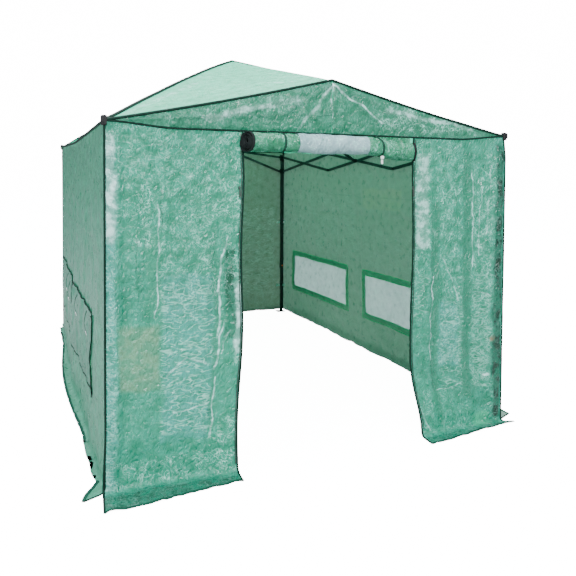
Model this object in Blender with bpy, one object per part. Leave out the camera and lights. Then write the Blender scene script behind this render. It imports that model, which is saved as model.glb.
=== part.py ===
"""Walk-in pop-up greenhouse: a folding canopy frame with a fitted woven cover.

Metres, +Z up, origin on the ground at the middle of the footprint, front at -Y.
"""

import math

import bmesh
import bpy
from mathutils import Vector
from mathutils.geometry import tessellate_polygon

# cover
WIDTH = 2.409
LENGTH = 3.580
EAVE_Z = 1.800
GABLE_Z = 2.068
PEAK_Z = 2.477
CLOTH = 0.002
SEAM = 0.0005
SKIRT = 0.180
SKIRT_LOW = 0.0022
DOOR_HALF = 0.520
DOOR_TOP = 1.795
ROLL_R = 0.056
ROLL_X = (-0.530, 0.476)
ROLL_Y = 0.061
ROLL_Z = 1.705
STRAP_X = {"left": -0.3145, "right": 0.2715}
STRAP_W = 0.016
WINDOW_Z = (0.345, 0.730)
WINDOW_Y = ((-1.310, -0.010), (0.180, 1.480))
SCREEN_LAP = 0.018
ZIP_Z = 1.480

# legs
LEG_INSET = 0.035
UPPER_HALF = 0.015
UPPER_WALL = 0.0015
UPPER_Z = (0.500, 1.7925)
BRACKET_HALF = 0.018
BRACKET_TOP = 0.560
LOWER_HALF = 0.0125
LOWER_WALL = 0.0012
LOWER_TOP = 0.950
FOOT_T = 0.004
FOOT_OUT = 0.030
FOOT_IN = 0.062
STAKE_R = 0.005
BUTTON_Z = 0.530
BUTTON_R = 0.008
BUTTON_SPAN = (0.0205, 0.0290)
BOSS_R = 0.0115
BOSS_END = 0.0240
RECESS_R = 0.0085
RECESS_FLOOR = 0.0160

# linkage
PIVOT_IN = 0.035
TOP_PIVOT_Z = 1.775
LOW_PIVOT_Z = 1.615
BAR_H = 0.012
BAR_T = 0.012
PLANE = 0.0065
END = 0.013
PIN_R = 0.004
BORE_R = 0.0044
HEAD_R = 0.0075
HEAD_T = 0.0028
HEAD_GAP = 0.0004
MID_Z = 1.904
APEX_Z = 2.045
HUB_X = 0.050
HUB_Z = 2.405
KNEE_SHARE = 0.64
BRACKET_X = 0.0415
DISC_R = 0.016
DISC_SPAN = (0.0131, 0.0211)
BORE_FLOOR = 0.0191
PIN_END = 0.0187

LEG_X = WIDTH / 2 - LEG_INSET
LEG_Y = LENGTH / 2 - LEG_INSET
UNIT = 2 * (LEG_Y - PIVOT_IN) / 3
MIDDLE_Z = (TOP_PIVOT_Z + LOW_PIVOT_Z) / 2
CORNERS = {"fl": (-1, -1), "fr": (1, -1), "rl": (-1, 1), "rr": (1, 1)}

for old in list(bpy.data.objects):
    bpy.data.objects.remove(old)


def material(name, colour, roughness, metallic):
    made = bpy.data.materials.new(name)
    made.use_nodes = True
    shader = made.node_tree.nodes["Principled BSDF"]
    shader.inputs["Base Color"].default_value = (*colour, 1)
    shader.inputs["Roughness"].default_value = roughness
    shader.inputs["Metallic"].default_value = metallic
    return made


LEG_STEEL = material("leg_steel", (0.030, 0.032, 0.034), 0.45, 0.6)
BAR_STEEL = material("bar_steel", (0.040, 0.042, 0.045), 0.42, 0.6)
PLASTIC = material("joint_plastic", (0.020, 0.021, 0.022), 0.55, 0.0)
BUTTON = material("button_plastic", (0.820, 0.170, 0.050), 0.40, 0.0)
COVER = material("woven_cover", (0.250, 0.600, 0.400), 0.55, 0.0)
MESH = material("screen_mesh", (0.520, 0.600, 0.620), 0.80, 0.0)
WEBBING = material("webbing", (0.030, 0.110, 0.065), 0.85, 0.0)
ZIP = material("zip_plastic", (0.040, 0.060, 0.050), 0.50, 0.0)


def new_object(name, bm, pivot, look=None, smooth=False):
    """Makes an object from a bmesh in world coordinates, with its origin at the pivot."""
    bmesh.ops.remove_doubles(bm, verts=bm.verts, dist=1e-6)
    bmesh.ops.recalc_face_normals(bm, faces=bm.faces)
    bmesh.ops.translate(bm, verts=bm.verts, vec=-Vector(pivot))
    data = bpy.data.meshes.new(name)
    bm.to_mesh(data)
    bm.free()
    data.polygons.foreach_set("use_smooth", [smooth] * len(data.polygons))
    made = bpy.data.objects.new(name, data)
    made.location = pivot
    bpy.context.scene.collection.objects.link(made)
    if look:
        data.materials.append(look)
    return made


def fuse(base, adds=(), cuts=()):
    """Adds and cuts solids with exact Booleans, and hides what is used up."""
    for operation, tools in (("UNION", adds), ("DIFFERENCE", cuts)):
        for tool in tools:
            change = base.modifiers.new(tool.name, "BOOLEAN")
            change.operation = operation
            change.solver = "EXACT"
            change.object = tool
            tool.hide_render = True
            tool.hide_viewport = True
            tool.display_type = "WIRE"
    return base


def prism(outline, holes, place, low, high):
    """A flat outline with holes, made thick from low to high along its normal.

    place(u, v, t) gives the world point.
    """
    bm = bmesh.new()
    loops = [outline, *holes]
    flat = [[Vector((u, v, 0)) for u, v in loop] for loop in loops]
    triangles = tessellate_polygon(flat)
    points = [p for loop in loops for p in loop]
    bottom = [bm.verts.new(place(u, v, low)) for u, v in points]
    top = [bm.verts.new(place(u, v, high)) for u, v in points]
    for a, b, c in triangles:
        bm.faces.new((bottom[a], bottom[b], bottom[c]))
        bm.faces.new((top[c], top[b], top[a]))
    start = 0
    for loop in loops:
        n = len(loop)
        for i in range(n):
            a = start + i
            b = start + (i + 1) % n
            bm.faces.new((bottom[a], bottom[b], top[b], top[a]))
        start += n
    return bm


def circle(u, v, radius, count=12):
    turn = 2 * math.pi / count
    return [(u + radius * math.cos(i * turn), v + radius * math.sin(i * turn)) for i in range(count)]


def stadium(length, half, before, after, count=4):
    """A bar's outline with rounded ends, from -before to length + after."""
    out = []
    for centre, start in ((length + after - half, -90), (-before + half, 90)):
        for i in range(count + 1):
            angle = math.radians(start + 180 * i / count)
            out.append((centre + half * math.cos(angle), half * math.sin(angle)))
    return out


def box(name, low, high, pivot=(0, 0, 0), look=None):
    corners = [(low[0], low[1]), (high[0], low[1]), (high[0], high[1]), (low[0], high[1])]
    bm = prism(corners, [], lambda u, v, t: (u, v, t), low[2], high[2])
    return new_object(name, bm, pivot, look)


def rod(name, start, end, radius, pivot=(0, 0, 0), look=None, count=12):
    """A round rod between two points."""
    start, end = Vector(start), Vector(end)
    along = (end - start).normalized()
    side = along.orthogonal().normalized()
    up = along.cross(side)
    bm = prism(circle(0, 0, radius, count), [], lambda u, v, t: start + side * u + up * v + along * t,
               0, (end - start).length)
    return new_object(name, bm, pivot, look)


def rounded_square(half, radius, count=2):
    out = []
    for sx, sy, start in ((1, 1, 0), (-1, 1, 90), (-1, -1, 180), (1, -1, 270)):
        for i in range(count + 1):
            angle = math.radians(start + 90 * i / count)
            out.append((sx * (half - radius) + radius * math.cos(angle),
                        sy * (half - radius) + radius * math.sin(angle)))
    return out


def square_turned(name, centre, path, closed, pivot, look=None):
    """A solid of square rings: path lists (half width, corner radius, z)."""
    bm = bmesh.new()
    rings = []
    for half, radius, z in path:
        ring = [bm.verts.new((centre[0] + x, centre[1] + y, z)) for x, y in rounded_square(half, radius)]
        rings.append(ring)
    pairs = list(zip(rings, rings[1:]))
    if closed:
        pairs.append((rings[-1], rings[0]))
    else:
        bm.faces.new(rings[0][::-1])
        bm.faces.new(rings[-1])
    for low, high in pairs:
        for i in range(len(low)):
            j = (i + 1) % len(low)
            bm.faces.new((low[i], low[j], high[j], high[i]))
    return new_object(name, bm, pivot, look)


def turned(name, start, along, profile, pivot, look=None, count=20):
    """A round solid about a line: profile lists (radius, distance along it), with both ends closed."""
    start, along = Vector(start), Vector(along)
    side = along.orthogonal().normalized()
    up = along.cross(side)
    bm = bmesh.new()
    rings = []
    for radius, t in profile:
        centre = start + along * t
        rings.append([bm.verts.new(centre + side * u + up * v) for u, v in circle(0, 0, radius, count)])
    bm.faces.new(rings[0][::-1])
    bm.faces.new(rings[-1])
    for low, high in zip(rings, rings[1:]):
        for i in range(count):
            j = (i + 1) % count
            bm.faces.new((low[i], low[j], high[j], high[i]))
    return new_object(name, bm, pivot, look, smooth=True)


def frame_of(start, end, across):
    """place(u, v, t) for a bar from start to end: u along it, t along across."""
    start, end, across = Vector(start), Vector(end), Vector(across)
    along = (end - start).normalized()
    up = across.cross(along)
    return lambda u, v, t: start + along * u + up * v + across * t


def studded(outline, bores, studs, place, low, high):
    """A prism with through holes, and round studs that stand on its faces.

    studs lists (u, face, rings): face is low or high, and rings the (radius, t) of each step outwards.
    """
    bm = bmesh.new()
    base = {low: {}, high: {}}

    def vertex(face, u, v):
        key = (round(u, 7), round(v, 7))
        if key not in base[face]:
            base[face][key] = bm.verts.new(place(u, v, face))
        return base[face][key]

    for face in (low, high):
        rims = [circle(u, 0, rings[0][0]) for u, on, rings in studs if on == face]
        loops = [outline, *bores, *rims]
        points = [p for loop in loops for p in loop]
        for triangle in tessellate_polygon([[Vector((u, v, 0)) for u, v in loop] for loop in loops]):
            bm.faces.new([vertex(face, *points[i]) for i in triangle])
    for loop in (outline, *bores):
        for a, b in zip(loop, loop[1:] + loop[:1]):
            bm.faces.new((vertex(low, *a), vertex(low, *b), vertex(high, *b), vertex(high, *a)))
    for u, face, rings in studs:
        steps = [[vertex(face, *p) for p in circle(u, 0, rings[0][0])]]
        steps += [[bm.verts.new(place(*p, t)) for p in circle(u, 0, radius)] for radius, t in rings[1:]]
        for inner, outer in zip(steps, steps[1:]):
            for i in range(len(inner)):
                j = (i + 1) % len(inner)
                bm.faces.new((inner[i], inner[j], outer[j], outer[i]))
        bm.faces.new(steps[-1])
    return bm


def bar(name, start, end, across, plane, pivot, pins=(), bores=(0, 1), rivets=()):
    """A truss bar in one of the two planes beside the middle one.

    across is the pivots' direction, plane is +1 or -1 along it. bores, pins and rivets are shares of the
    length: a bore has a hole, a rivet is a flat head, and a pin goes on through the bar in the other plane to
    a head, or to a plain end that far from the middle plane.
    """
    length = (Vector(end) - Vector(start)).length
    place = frame_of(start, end, across)
    near = plane * (PLANE - BAR_T / 2)
    outer = plane * (PLANE + BAR_T / 2)
    holes = [circle(share * length, 0, BORE_R) for share in bores]
    studs = []
    for share, plain_end in pins:
        reach = -outer - plane * HEAD_GAP
        head = [(PIN_R, reach), (HEAD_R, reach), (HEAD_R, reach - plane * HEAD_T)]
        studs.append((share * length, near, [(PIN_R, near)] + ([(PIN_R, -plane * plain_end)] if plain_end else head)))
    for share in [share for share, plain_end in pins] + list(rivets):
        studs.append((share * length, outer, [(HEAD_R, outer), (HEAD_R, outer + plane * HEAD_T)]))
    bm = studded(stadium(length, BAR_H, END, END), holes, studs, place, near, outer)
    return new_object(name, bm, pivot, BAR_STEEL)


def clevis(name, root, tip, across, plane, z):
    """Two cheeks and a pin that hold one bar's end: from root to tip, level, with the bar in the given plane."""
    length = (Vector(tip) - Vector(root)).length
    place = frame_of((*root[:2], z), (*tip[:2], z), across)
    outline = stadium(length, END, 0, END)
    middle = (-0.0035, -0.0001)
    beyond = (PLANE + BAR_T / 2 + 0.0005, PLANE + BAR_T / 2 + 0.0039)
    made = []
    for i, (low, high) in enumerate((middle, beyond)):
        span = sorted((plane * low, plane * high))
        made.append(new_object(f"{name}_cheek{i}", prism(outline, [], place, *span), (0, 0, 0)))
    ends = sorted((plane * middle[0] - plane * 0.001, plane * beyond[1] + plane * 0.001))
    point = Vector((*tip[:2], z))
    made.append(rod(f"{name}_pin", point + Vector(across) * ends[0], point + Vector(across) * ends[1], PIN_R))
    return made


# legs, connectors, sliders and buttons, one set at each corner
SIDE_PLANE = {"fl": {"top": 1, "low": -1}, "rl": {"top": -1, "low": 1}}
SIDE_PLANE["fr"] = SIDE_PLANE["fl"]
SIDE_PLANE["rr"] = SIDE_PLANE["rl"]
GABLE_PLANE = {"fl": {"top": 1, "low": -1}, "fr": {"top": -1, "low": 1}}
GABLE_PLANE["rl"] = GABLE_PLANE["fl"]
GABLE_PLANE["rr"] = GABLE_PLANE["fr"]

for corner, (sx, sy) in CORNERS.items():
    x, y = sx * LEG_X, sy * LEG_Y
    outward = (sx, 0, 0)
    forward = (0, sy, 0)
    inner = UPPER_HALF - UPPER_WALL
    upper = square_turned(
        f"leg_upper_{corner}", (x, y),
        [(BRACKET_HALF, 0.004, UPPER_Z[0]), (BRACKET_HALF, 0.004, BRACKET_TOP), (UPPER_HALF, 0.003, BRACKET_TOP),
         (UPPER_HALF, 0.003, UPPER_Z[1]), (inner, 0.002, UPPER_Z[1]), (inner, 0.002, UPPER_Z[0])],
        True, (x, y, UPPER_Z[0]), LEG_STEEL)
    boss = rod(f"boss_{corner}", (x, y - sy * (BRACKET_HALF - 0.001), BUTTON_Z), (x, y - sy * BOSS_END, BUTTON_Z),
               BOSS_R, count=16)
    recess = rod(f"recess_{corner}", (x, y - sy * RECESS_FLOOR, BUTTON_Z),
                 (x, y - sy * (BOSS_END + 0.01), BUTTON_Z), RECESS_R, count=16)
    fuse(upper, [boss], [recess])
    rod(f"button_{corner}", (x, y - sy * BUTTON_SPAN[0], BUTTON_Z), (x, y - sy * BUTTON_SPAN[1], BUTTON_Z),
        BUTTON_R, (x, y - sy * BUTTON_SPAN[0], BUTTON_Z), BUTTON, count=16)

    lower = square_turned(
        f"leg_lower_{corner}", (x, y),
        [(LOWER_HALF, 0.002, 0.001), (LOWER_HALF, 0.002, LOWER_TOP), (LOWER_HALF - LOWER_WALL, 0.001, LOWER_TOP),
         (LOWER_HALF - LOWER_WALL, 0.001, FOOT_T + 0.002)],
        False, (x, y, 0), LEG_STEEL)
    middle = (FOOT_IN - FOOT_OUT) / 2
    half = (FOOT_IN + FOOT_OUT) / 2
    outline = [(u - sx * middle, v - sy * middle) for u, v in rounded_square(half, 0.008)]
    stake = circle(-sx * (FOOT_IN - 0.018), -sy * (FOOT_IN - 0.018), STAKE_R, 16)
    plate = prism(outline, [stake], lambda u, v, t, x=x, y=y: (x + u, y + v, t), 0, FOOT_T)
    fuse(lower, [new_object(f"foot_{corner}", plate, (0, 0, 0))])

    side_tip = (x, y - sy * PIVOT_IN)
    gable_tip = (x - sx * PIVOT_IN, y)
    for kind, z, low, high, hollow in (("connector", TOP_PIVOT_Z, 1.738, 1.7995, 1.7935),
                                       ("slider", LOW_PIVOT_Z, 1.590, 1.640, None)):
        place = "top" if kind == "connector" else "low"
        bore = UPPER_HALF + 0.0006
        if hollow:
            path = [(0.020, 0.004, low), (0.020, 0.004, high), (bore, 0.003, low), (bore, 0.003, hollow)]
            sleeve = square_turned(f"{kind}_{corner}", (x, y),
                                   [path[3], path[2], path[0], path[1]], False, (x, y, z), PLASTIC)
        else:
            sleeve = square_turned(f"{kind}_{corner}", (x, y),
                                   [(0.021, 0.004, low), (0.021, 0.004, high), (bore, 0.003, high), (bore, 0.003, low)],
                                   True, (x, y, z), PLASTIC)
        wall = 0.0185
        arms = clevis(f"{kind}_{corner}_side", (x, y - sy * wall), side_tip, outward, SIDE_PLANE[corner][place], z)
        arms += clevis(f"{kind}_{corner}_gable", (x - sx * wall, y), gable_tip, forward,
                       GABLE_PLANE[corner][place], z)
        fuse(sleeve, arms)

# side trusses: three scissor units each, bars A falling and bars B rising towards the rear
for side, sx in (("left", -1), ("right", 1)):
    x = sx * LEG_X
    across = (sx, 0, 0)
    at = [-(LEG_Y - PIVOT_IN) + i * UNIT for i in range(4)]
    top = [(x, y, TOP_PIVOT_Z) for y in at]
    low = [(x, y, LOW_PIVOT_Z) for y in at]
    cross = [Vector(a).lerp(Vector(b), 0.5) for a, b in zip(top, low[1:])]
    bar(f"side_{side}_a1", top[0], low[1], across, 1, top[0], pins=((0.5, 0), (1, 0)), bores=(0,))
    bar(f"side_{side}_b1", low[0], top[1], across, -1, cross[0], pins=((1, 0),), bores=(0, 0.5))
    bar(f"side_{side}_a2", top[1], low[2], across, 1, cross[1], pins=((0.5, PIN_END), (1, 0)), bores=(0,))
    bar(f"side_{side}_b2", low[1], top[2], across, -1, low[1], pins=((1, 0),), bores=(0, 0.5))
    bar(f"side_{side}_a3", top[2], low[3], across, 1, cross[2], bores=(0, 0.5, 1))
    bar(f"side_{side}_b3", low[2], top[3], across, -1, low[2], pins=((0.5, 0),), bores=(0, 1))

# gable trusses, front and rear: P bars to the apex, Q bars to the lower middle pivot
GABLE_X = LEG_X - PIVOT_IN
CROSS_SHARE = (TOP_PIVOT_Z - LOW_PIVOT_Z) / ((APEX_Z - LOW_PIVOT_Z) - (MID_Z - TOP_PIVOT_Z))
for end, sy in (("front", -1), ("rear", 1)):
    y = sy * LEG_Y
    across = (0, sy, 0)
    apex = (0, y, APEX_Z)
    mid = (0, y, MID_Z)
    for side, sx in (("left", -1), ("right", 1)):
        plane = -sx
        connector = (sx * GABLE_X, y, TOP_PIVOT_Z)
        slider = (sx * GABLE_X, y, LOW_PIVOT_Z)
        bar(f"gable_{end}_q_{side}", connector, mid, across, plane, connector,
            pins=((1, 0),) if side == "left" else (), bores=(0,) if side == "left" else (0, 1))
        bar(f"gable_{end}_p_{side}", slider, apex, across, -plane, slider, bores=(0,),
            rivets=(CROSS_SHARE, 1))

# roof: a bracket on each side truss's middle crossing, a jointed rafter to each side of the hub
bracket_x = LEG_X - BRACKET_X
dx = bracket_x - HUB_X
dz = HUB_Z - MIDDLE_Z
for side, sx in (("left", -1), ("right", 1)):
    x = sx * LEG_X
    foot = (sx * bracket_x, 0, MIDDLE_Z)
    head = (sx * HUB_X, 0, HUB_Z)
    knee = tuple(Vector(foot).lerp(Vector(head), KNEE_SHARE))
    across = (0, 1, 0)
    plate = turned(f"rafter_bracket_{side}", (x, 0, MIDDLE_Z), (-sx, 0, 0),
                   [(BORE_R, BORE_FLOOR), (BORE_R, DISC_SPAN[0]), (DISC_R, DISC_SPAN[0]), (DISC_R, DISC_SPAN[1])],
                   (x, 0, MIDDLE_Z), PLASTIC)
    cheeks = clevis(f"rafter_bracket_{side}", (x - sx * (DISC_SPAN[1] - 0.0015), 0), foot[:2], across, -1, MIDDLE_Z)
    fuse(plate, cheeks)
    bar(f"rafter_lower_{side}", foot, knee, across, -1, foot, pins=((1, 0),), bores=(0,))
    bar(f"rafter_upper_{side}", knee, head, across, 1, knee, bores=(0, 1) if side == "left" else (0,),
        rivets=() if side == "left" else (1,))

hub = turned("peak_hub", (0, 0, 0), (0, 0, 1),
             [(0.011, 2.366), (0.020, 2.372), (0.022, 2.380), (0.022, 2.412), (0.030, 2.424), (0.031, 2.431),
              (0.026, 2.438), (0.014, 2.443), (0.004, 2.4445)], (0, 0, HUB_Z), PLASTIC)
left_arm = clevis("peak_hub_left", (-0.012, 0), (-HUB_X, 0), (0, 1, 0), 1, HUB_Z)
right_outline = stadium(HUB_X - 0.012, END, 0, END)
right_place = frame_of((0.012, 0, HUB_Z), (HUB_X, 0, HUB_Z), (0, 1, 0))
right_cheek = new_object("peak_hub_right_cheek", prism(right_outline, [], right_place, -0.0035, -0.0001), (0, 0, 0))
fuse(hub, [*left_arm, right_cheek])

# cover: roof
wx = WIDTH / 2 + 0.001
wy = LENGTH / 2 + 0.001
bm = bmesh.new()
outer, under = {}, {}
roof_points = {"fl": (-wx, -wy, EAVE_Z), "fr": (wx, -wy, EAVE_Z), "rr": (wx, wy, EAVE_Z), "rl": (-wx, wy, EAVE_Z),
               "front": (0, -wy, GABLE_Z), "rear": (0, wy, GABLE_Z), "peak": (0, 0, PEAK_Z)}
for name, (px, py, pz) in roof_points.items():
    outer[name] = bm.verts.new((px, py, pz))
    under[name] = bm.verts.new((px, py, pz - CLOTH))
rim = ["fl", "front", "fr", "rr", "rear", "rl"]
for a, b in zip(rim, rim[1:] + rim[:1]):
    bm.faces.new((outer[a], outer[b], outer["peak"]))
    bm.faces.new((under[b], under[a], under["peak"]))
    bm.faces.new((outer[b], outer[a], under[a], under[b]))
new_object("roof_cover", bm, (-LEG_X, -LEG_Y, EAVE_Z), COVER)


def gable_z(x):
    """The height of an end wall's top edge, just under the roof."""
    return EAVE_Z - CLOTH - 0.0015 + (WIDTH / 2 - abs(x)) * (GABLE_Z - EAVE_Z) / (WIDTH / 2)


def skirt(name, low, high):
    return box(name, (*low, SKIRT_LOW), (*high, SKIRT_LOW + CLOTH))


# cover: end walls, with the doorway open in the front
edge = WIDTH / 2 + 0.001
for side, sx in (("left", -1), ("right", 1)):
    outline = [(sx * edge, SKIRT_LOW), (sx * DOOR_HALF, SKIRT_LOW), (sx * DOOR_HALF, DOOR_TOP),
               (sx * SEAM, DOOR_TOP), (sx * SEAM, gable_z(0)), (sx * edge, gable_z(edge))]
    y = -LENGTH / 2
    wall = new_object(f"front_wall_{side}", prism(outline, [], lambda u, v, t: (u, t, v), y - 0.001, y + 0.001),
                      (sx * LEG_X, -LEG_Y, 0), COVER)
    ends = sorted((sx * (edge + SKIRT - 0.001), sx * DOOR_HALF))
    fuse(wall, [skirt(f"front_skirt_{side}", (ends[0], y - SKIRT), (ends[1], y))])
y = LENGTH / 2
outline = [(-edge, SKIRT_LOW), (edge, SKIRT_LOW), (edge, gable_z(edge)), (0, gable_z(0)), (-edge, gable_z(edge))]
wall = new_object("rear_wall", prism(outline, [], lambda u, v, t: (u, t, v), y - 0.001, y + 0.001),
                  (-LEG_X, LEG_Y, 0), COVER)
fuse(wall, [skirt("rear_skirt", (-(edge + SKIRT - 0.001), y), (edge + SKIRT - 0.001, y + SKIRT))])

# cover: side walls with two screened windows each
for side, sx in (("left", -1), ("right", 1)):
    x = sx * WIDTH / 2
    reach = LENGTH / 2 - 0.001 - SEAM
    outline = [(-reach, SKIRT_LOW), (reach, SKIRT_LOW), (reach, EAVE_Z - 0.0045), (-reach, EAVE_Z - 0.0045)]
    holes = [[(a, WINDOW_Z[0]), (a, WINDOW_Z[1]), (b, WINDOW_Z[1]), (b, WINDOW_Z[0])] for a, b in WINDOW_Y]
    wall = new_object(f"side_wall_{side}", prism(outline, holes, lambda u, v, t: (t, u, v), x - 0.001, x + 0.001),
                      (x, -LEG_Y, 0), COVER)
    ends = sorted((x, x + sx * SKIRT))
    fuse(wall, [skirt(f"side_skirt_{side}", (ends[0], -reach), (ends[1], reach))])
    inside = sorted((x - sx * 0.0015, x - sx * 0.0025))
    box(f"window_screen_{side}",
        (inside[0], WINDOW_Y[0][0] - SCREEN_LAP, WINDOW_Z[0] - SCREEN_LAP),
        (inside[1], WINDOW_Y[1][1] + SCREEN_LAP, WINDOW_Z[1] + SCREEN_LAP),
        (x, -LEG_Y, WINDOW_Z[0]), MESH)

# rolled-up door and its straps
roll_y = -LENGTH / 2 - ROLL_Y
profile = [(ROLL_R - 0.006, ROLL_X[0]), (ROLL_R, ROLL_X[0] + 0.004), (ROLL_R, ROLL_X[1] - 0.004),
           (ROLL_R - 0.006, ROLL_X[1])]
turned("door_roll", (0, roll_y, ROLL_Z), (1, 0, 0), profile, (0, roll_y, ROLL_Z), COVER, count=24)
for side, sx in STRAP_X.items():
    ring = prism(circle(roll_y, ROLL_Z, ROLL_R + 0.003, 24), [circle(roll_y, ROLL_Z, ROLL_R + 0.0018, 24)],
                 lambda u, v, t: (t, u, v), sx - STRAP_W / 2, sx + STRAP_W / 2)
    new_object(f"roll_strap_{side}", ring, (sx, roll_y, ROLL_Z), WEBBING)

# zip pulls at the tops of the doorway's edges
for side, sx in (("left", -1), ("right", 1)):
    y = -LENGTH / 2 - 0.0015
    x = sx * (DOOR_HALF + 0.012)
    box(f"zip_pull_{side}", (x - 0.006, y - 0.004, ZIP_Z - 0.018), (x + 0.006, y, ZIP_Z + 0.018),
        (x, y, ZIP_Z), ZIP)
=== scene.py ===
"""Looks of a walk-in pop-up greenhouse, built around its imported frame.

Lengths are in metres, in the frame's axes: +X right, +Y to the rear, +Z up.
"""

import math

import bpy
import numpy as np
from mathutils import Matrix, Vector


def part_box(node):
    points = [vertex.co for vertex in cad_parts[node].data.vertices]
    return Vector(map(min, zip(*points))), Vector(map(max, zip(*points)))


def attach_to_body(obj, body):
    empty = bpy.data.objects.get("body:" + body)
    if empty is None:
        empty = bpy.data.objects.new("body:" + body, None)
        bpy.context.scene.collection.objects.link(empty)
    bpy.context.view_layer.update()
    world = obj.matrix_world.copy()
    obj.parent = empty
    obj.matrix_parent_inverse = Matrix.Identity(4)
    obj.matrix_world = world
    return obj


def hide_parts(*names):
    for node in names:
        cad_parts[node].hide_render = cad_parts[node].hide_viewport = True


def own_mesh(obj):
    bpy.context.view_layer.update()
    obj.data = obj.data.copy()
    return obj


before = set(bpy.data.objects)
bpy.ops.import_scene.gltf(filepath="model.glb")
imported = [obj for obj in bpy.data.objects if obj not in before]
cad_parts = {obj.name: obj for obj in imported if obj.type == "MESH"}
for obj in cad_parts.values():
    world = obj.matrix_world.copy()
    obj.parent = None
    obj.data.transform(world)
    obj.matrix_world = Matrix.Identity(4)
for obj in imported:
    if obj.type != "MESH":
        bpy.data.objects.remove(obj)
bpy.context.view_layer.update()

HALF_X, HALF_Y = 1.2045, 1.79
EAVE, APEX, PEAK = 1.8, 2.068, 2.477
DOOR_LEFT, DOOR_RIGHT = -0.5145, 0.5355
LEG_X, LEG_Y = 1.1695, 1.755
WINDOW_Z = (0.345, 0.683)
WINDOW_Y = ((-1.29, -0.09), (0.27, 1.46))
STRAP_X = {"left": -0.3145, "right": 0.2715}
BEND, LIFT, SKIRT = 0.035, 0.004, 0.18
UP = np.array([0.0, 0.0, 1.0])


# ---------------------------------------------------------------- noise and cloth shapes
def smooth(t):
    """0 to 1 with an even start and end."""
    t = np.clip(t, 0.0, 1.0)
    return t * t * (3 - 2 * t)


def arch(t):
    """Half a sine wave: 0 at 0 and 1, and 1 halfway."""
    return np.sin(np.pi * np.clip(t, 0, 1))


def lattice(ix, iy, seed):
    """A repeatable value from -1 to 1 at each whole-number point."""
    h = (ix.astype(np.int64) * 73856093) ^ (iy.astype(np.int64) * 19349663) ^ (seed * 83492791)
    h = (h ^ (h >> 13)) * 1274126177
    h = (h ^ (h >> 16)) & 0xFFFF
    return h / 32767.5 - 1.0


def noise(u, v, size, seed):
    """Smooth noise from -1 to 1, with features of that size."""
    x, y = 0.8 * u / size - 0.6 * v / size, 0.6 * u / size + 0.8 * v / size
    ix, iy = np.floor(x), np.floor(y)
    fx, fy = smooth(x - ix), smooth(y - iy)
    low = lattice(ix, iy, seed) * (1 - fx) + lattice(ix + 1, iy, seed) * fx
    high = lattice(ix, iy + 1, seed) * (1 - fx) + lattice(ix + 1, iy + 1, seed) * fx
    return low * (1 - fy) + high * fy


def facets(u, v, size, seed):
    """A crumpled sheet from -1 to 1: flat facets that meet in sharp creases."""
    wu = u + 0.55 * size * noise(u, v, 1.3 * size, seed + 1)
    wv = v + 0.55 * size * noise(v, u, 1.3 * size, seed + 2)
    y = wv / (0.866 * size)
    x = wu / size - 0.5 * y
    ix, iy = np.floor(x), np.floor(y)
    fx, fy = x - ix, y - iy
    corner_a, corner_b = lattice(ix + 1, iy, seed), lattice(ix, iy + 1, seed)
    low, high = lattice(ix, iy, seed), lattice(ix + 1, iy + 1, seed)
    near = low + fx * (corner_a - low) + fy * (corner_b - low)
    far = high + (1 - fx) * (corner_b - high) + (1 - fy) * (corner_a - high)
    return np.where(fx + fy < 1, near, far)


def creases(u, v, lines):
    """Straight folds left by packing: each line is (u0, v0, u1, v1, height, half width) in millimetres."""
    total = np.zeros(np.broadcast(u, v).shape)
    for line in lines:
        u0, v0, u1, v1, height, half = (size / 1000 for size in line)
        du, dv = u1 - u0, v1 - v0
        length = math.hypot(du, dv)
        t = ((u - u0) * du + (v - v0) * dv) / length**2
        off = np.abs((u - u0) * dv - (v - v0) * du) / length
        total = total + height * np.maximum(0, 1 - off / half) * smooth(5 * np.minimum(t, 1 - t))
    return total


def crumple(u, v, seed, amount=1.0):
    """The irregular small relief of a stiff woven sheet that has been folded and stuffed in a bag."""
    big = 0.006 * facets(u, v, 0.15, seed)
    mid = 0.0048 * facets(0.9 * u + 0.43 * v, 0.9 * v - 0.43 * u, 0.07, seed + 7)
    small = 0.0026 * facets(u, v, 0.036, seed + 13)
    return amount * (big + mid + small)


def unit(v):
    return v / np.maximum(np.linalg.norm(v, axis=-1, keepdims=True), 1e-9)


def grid_normals(grid):
    """Unit normals of a rows x columns grid of points."""
    return unit(np.cross(np.gradient(grid, axis=1), np.gradient(grid, axis=0)))


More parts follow.
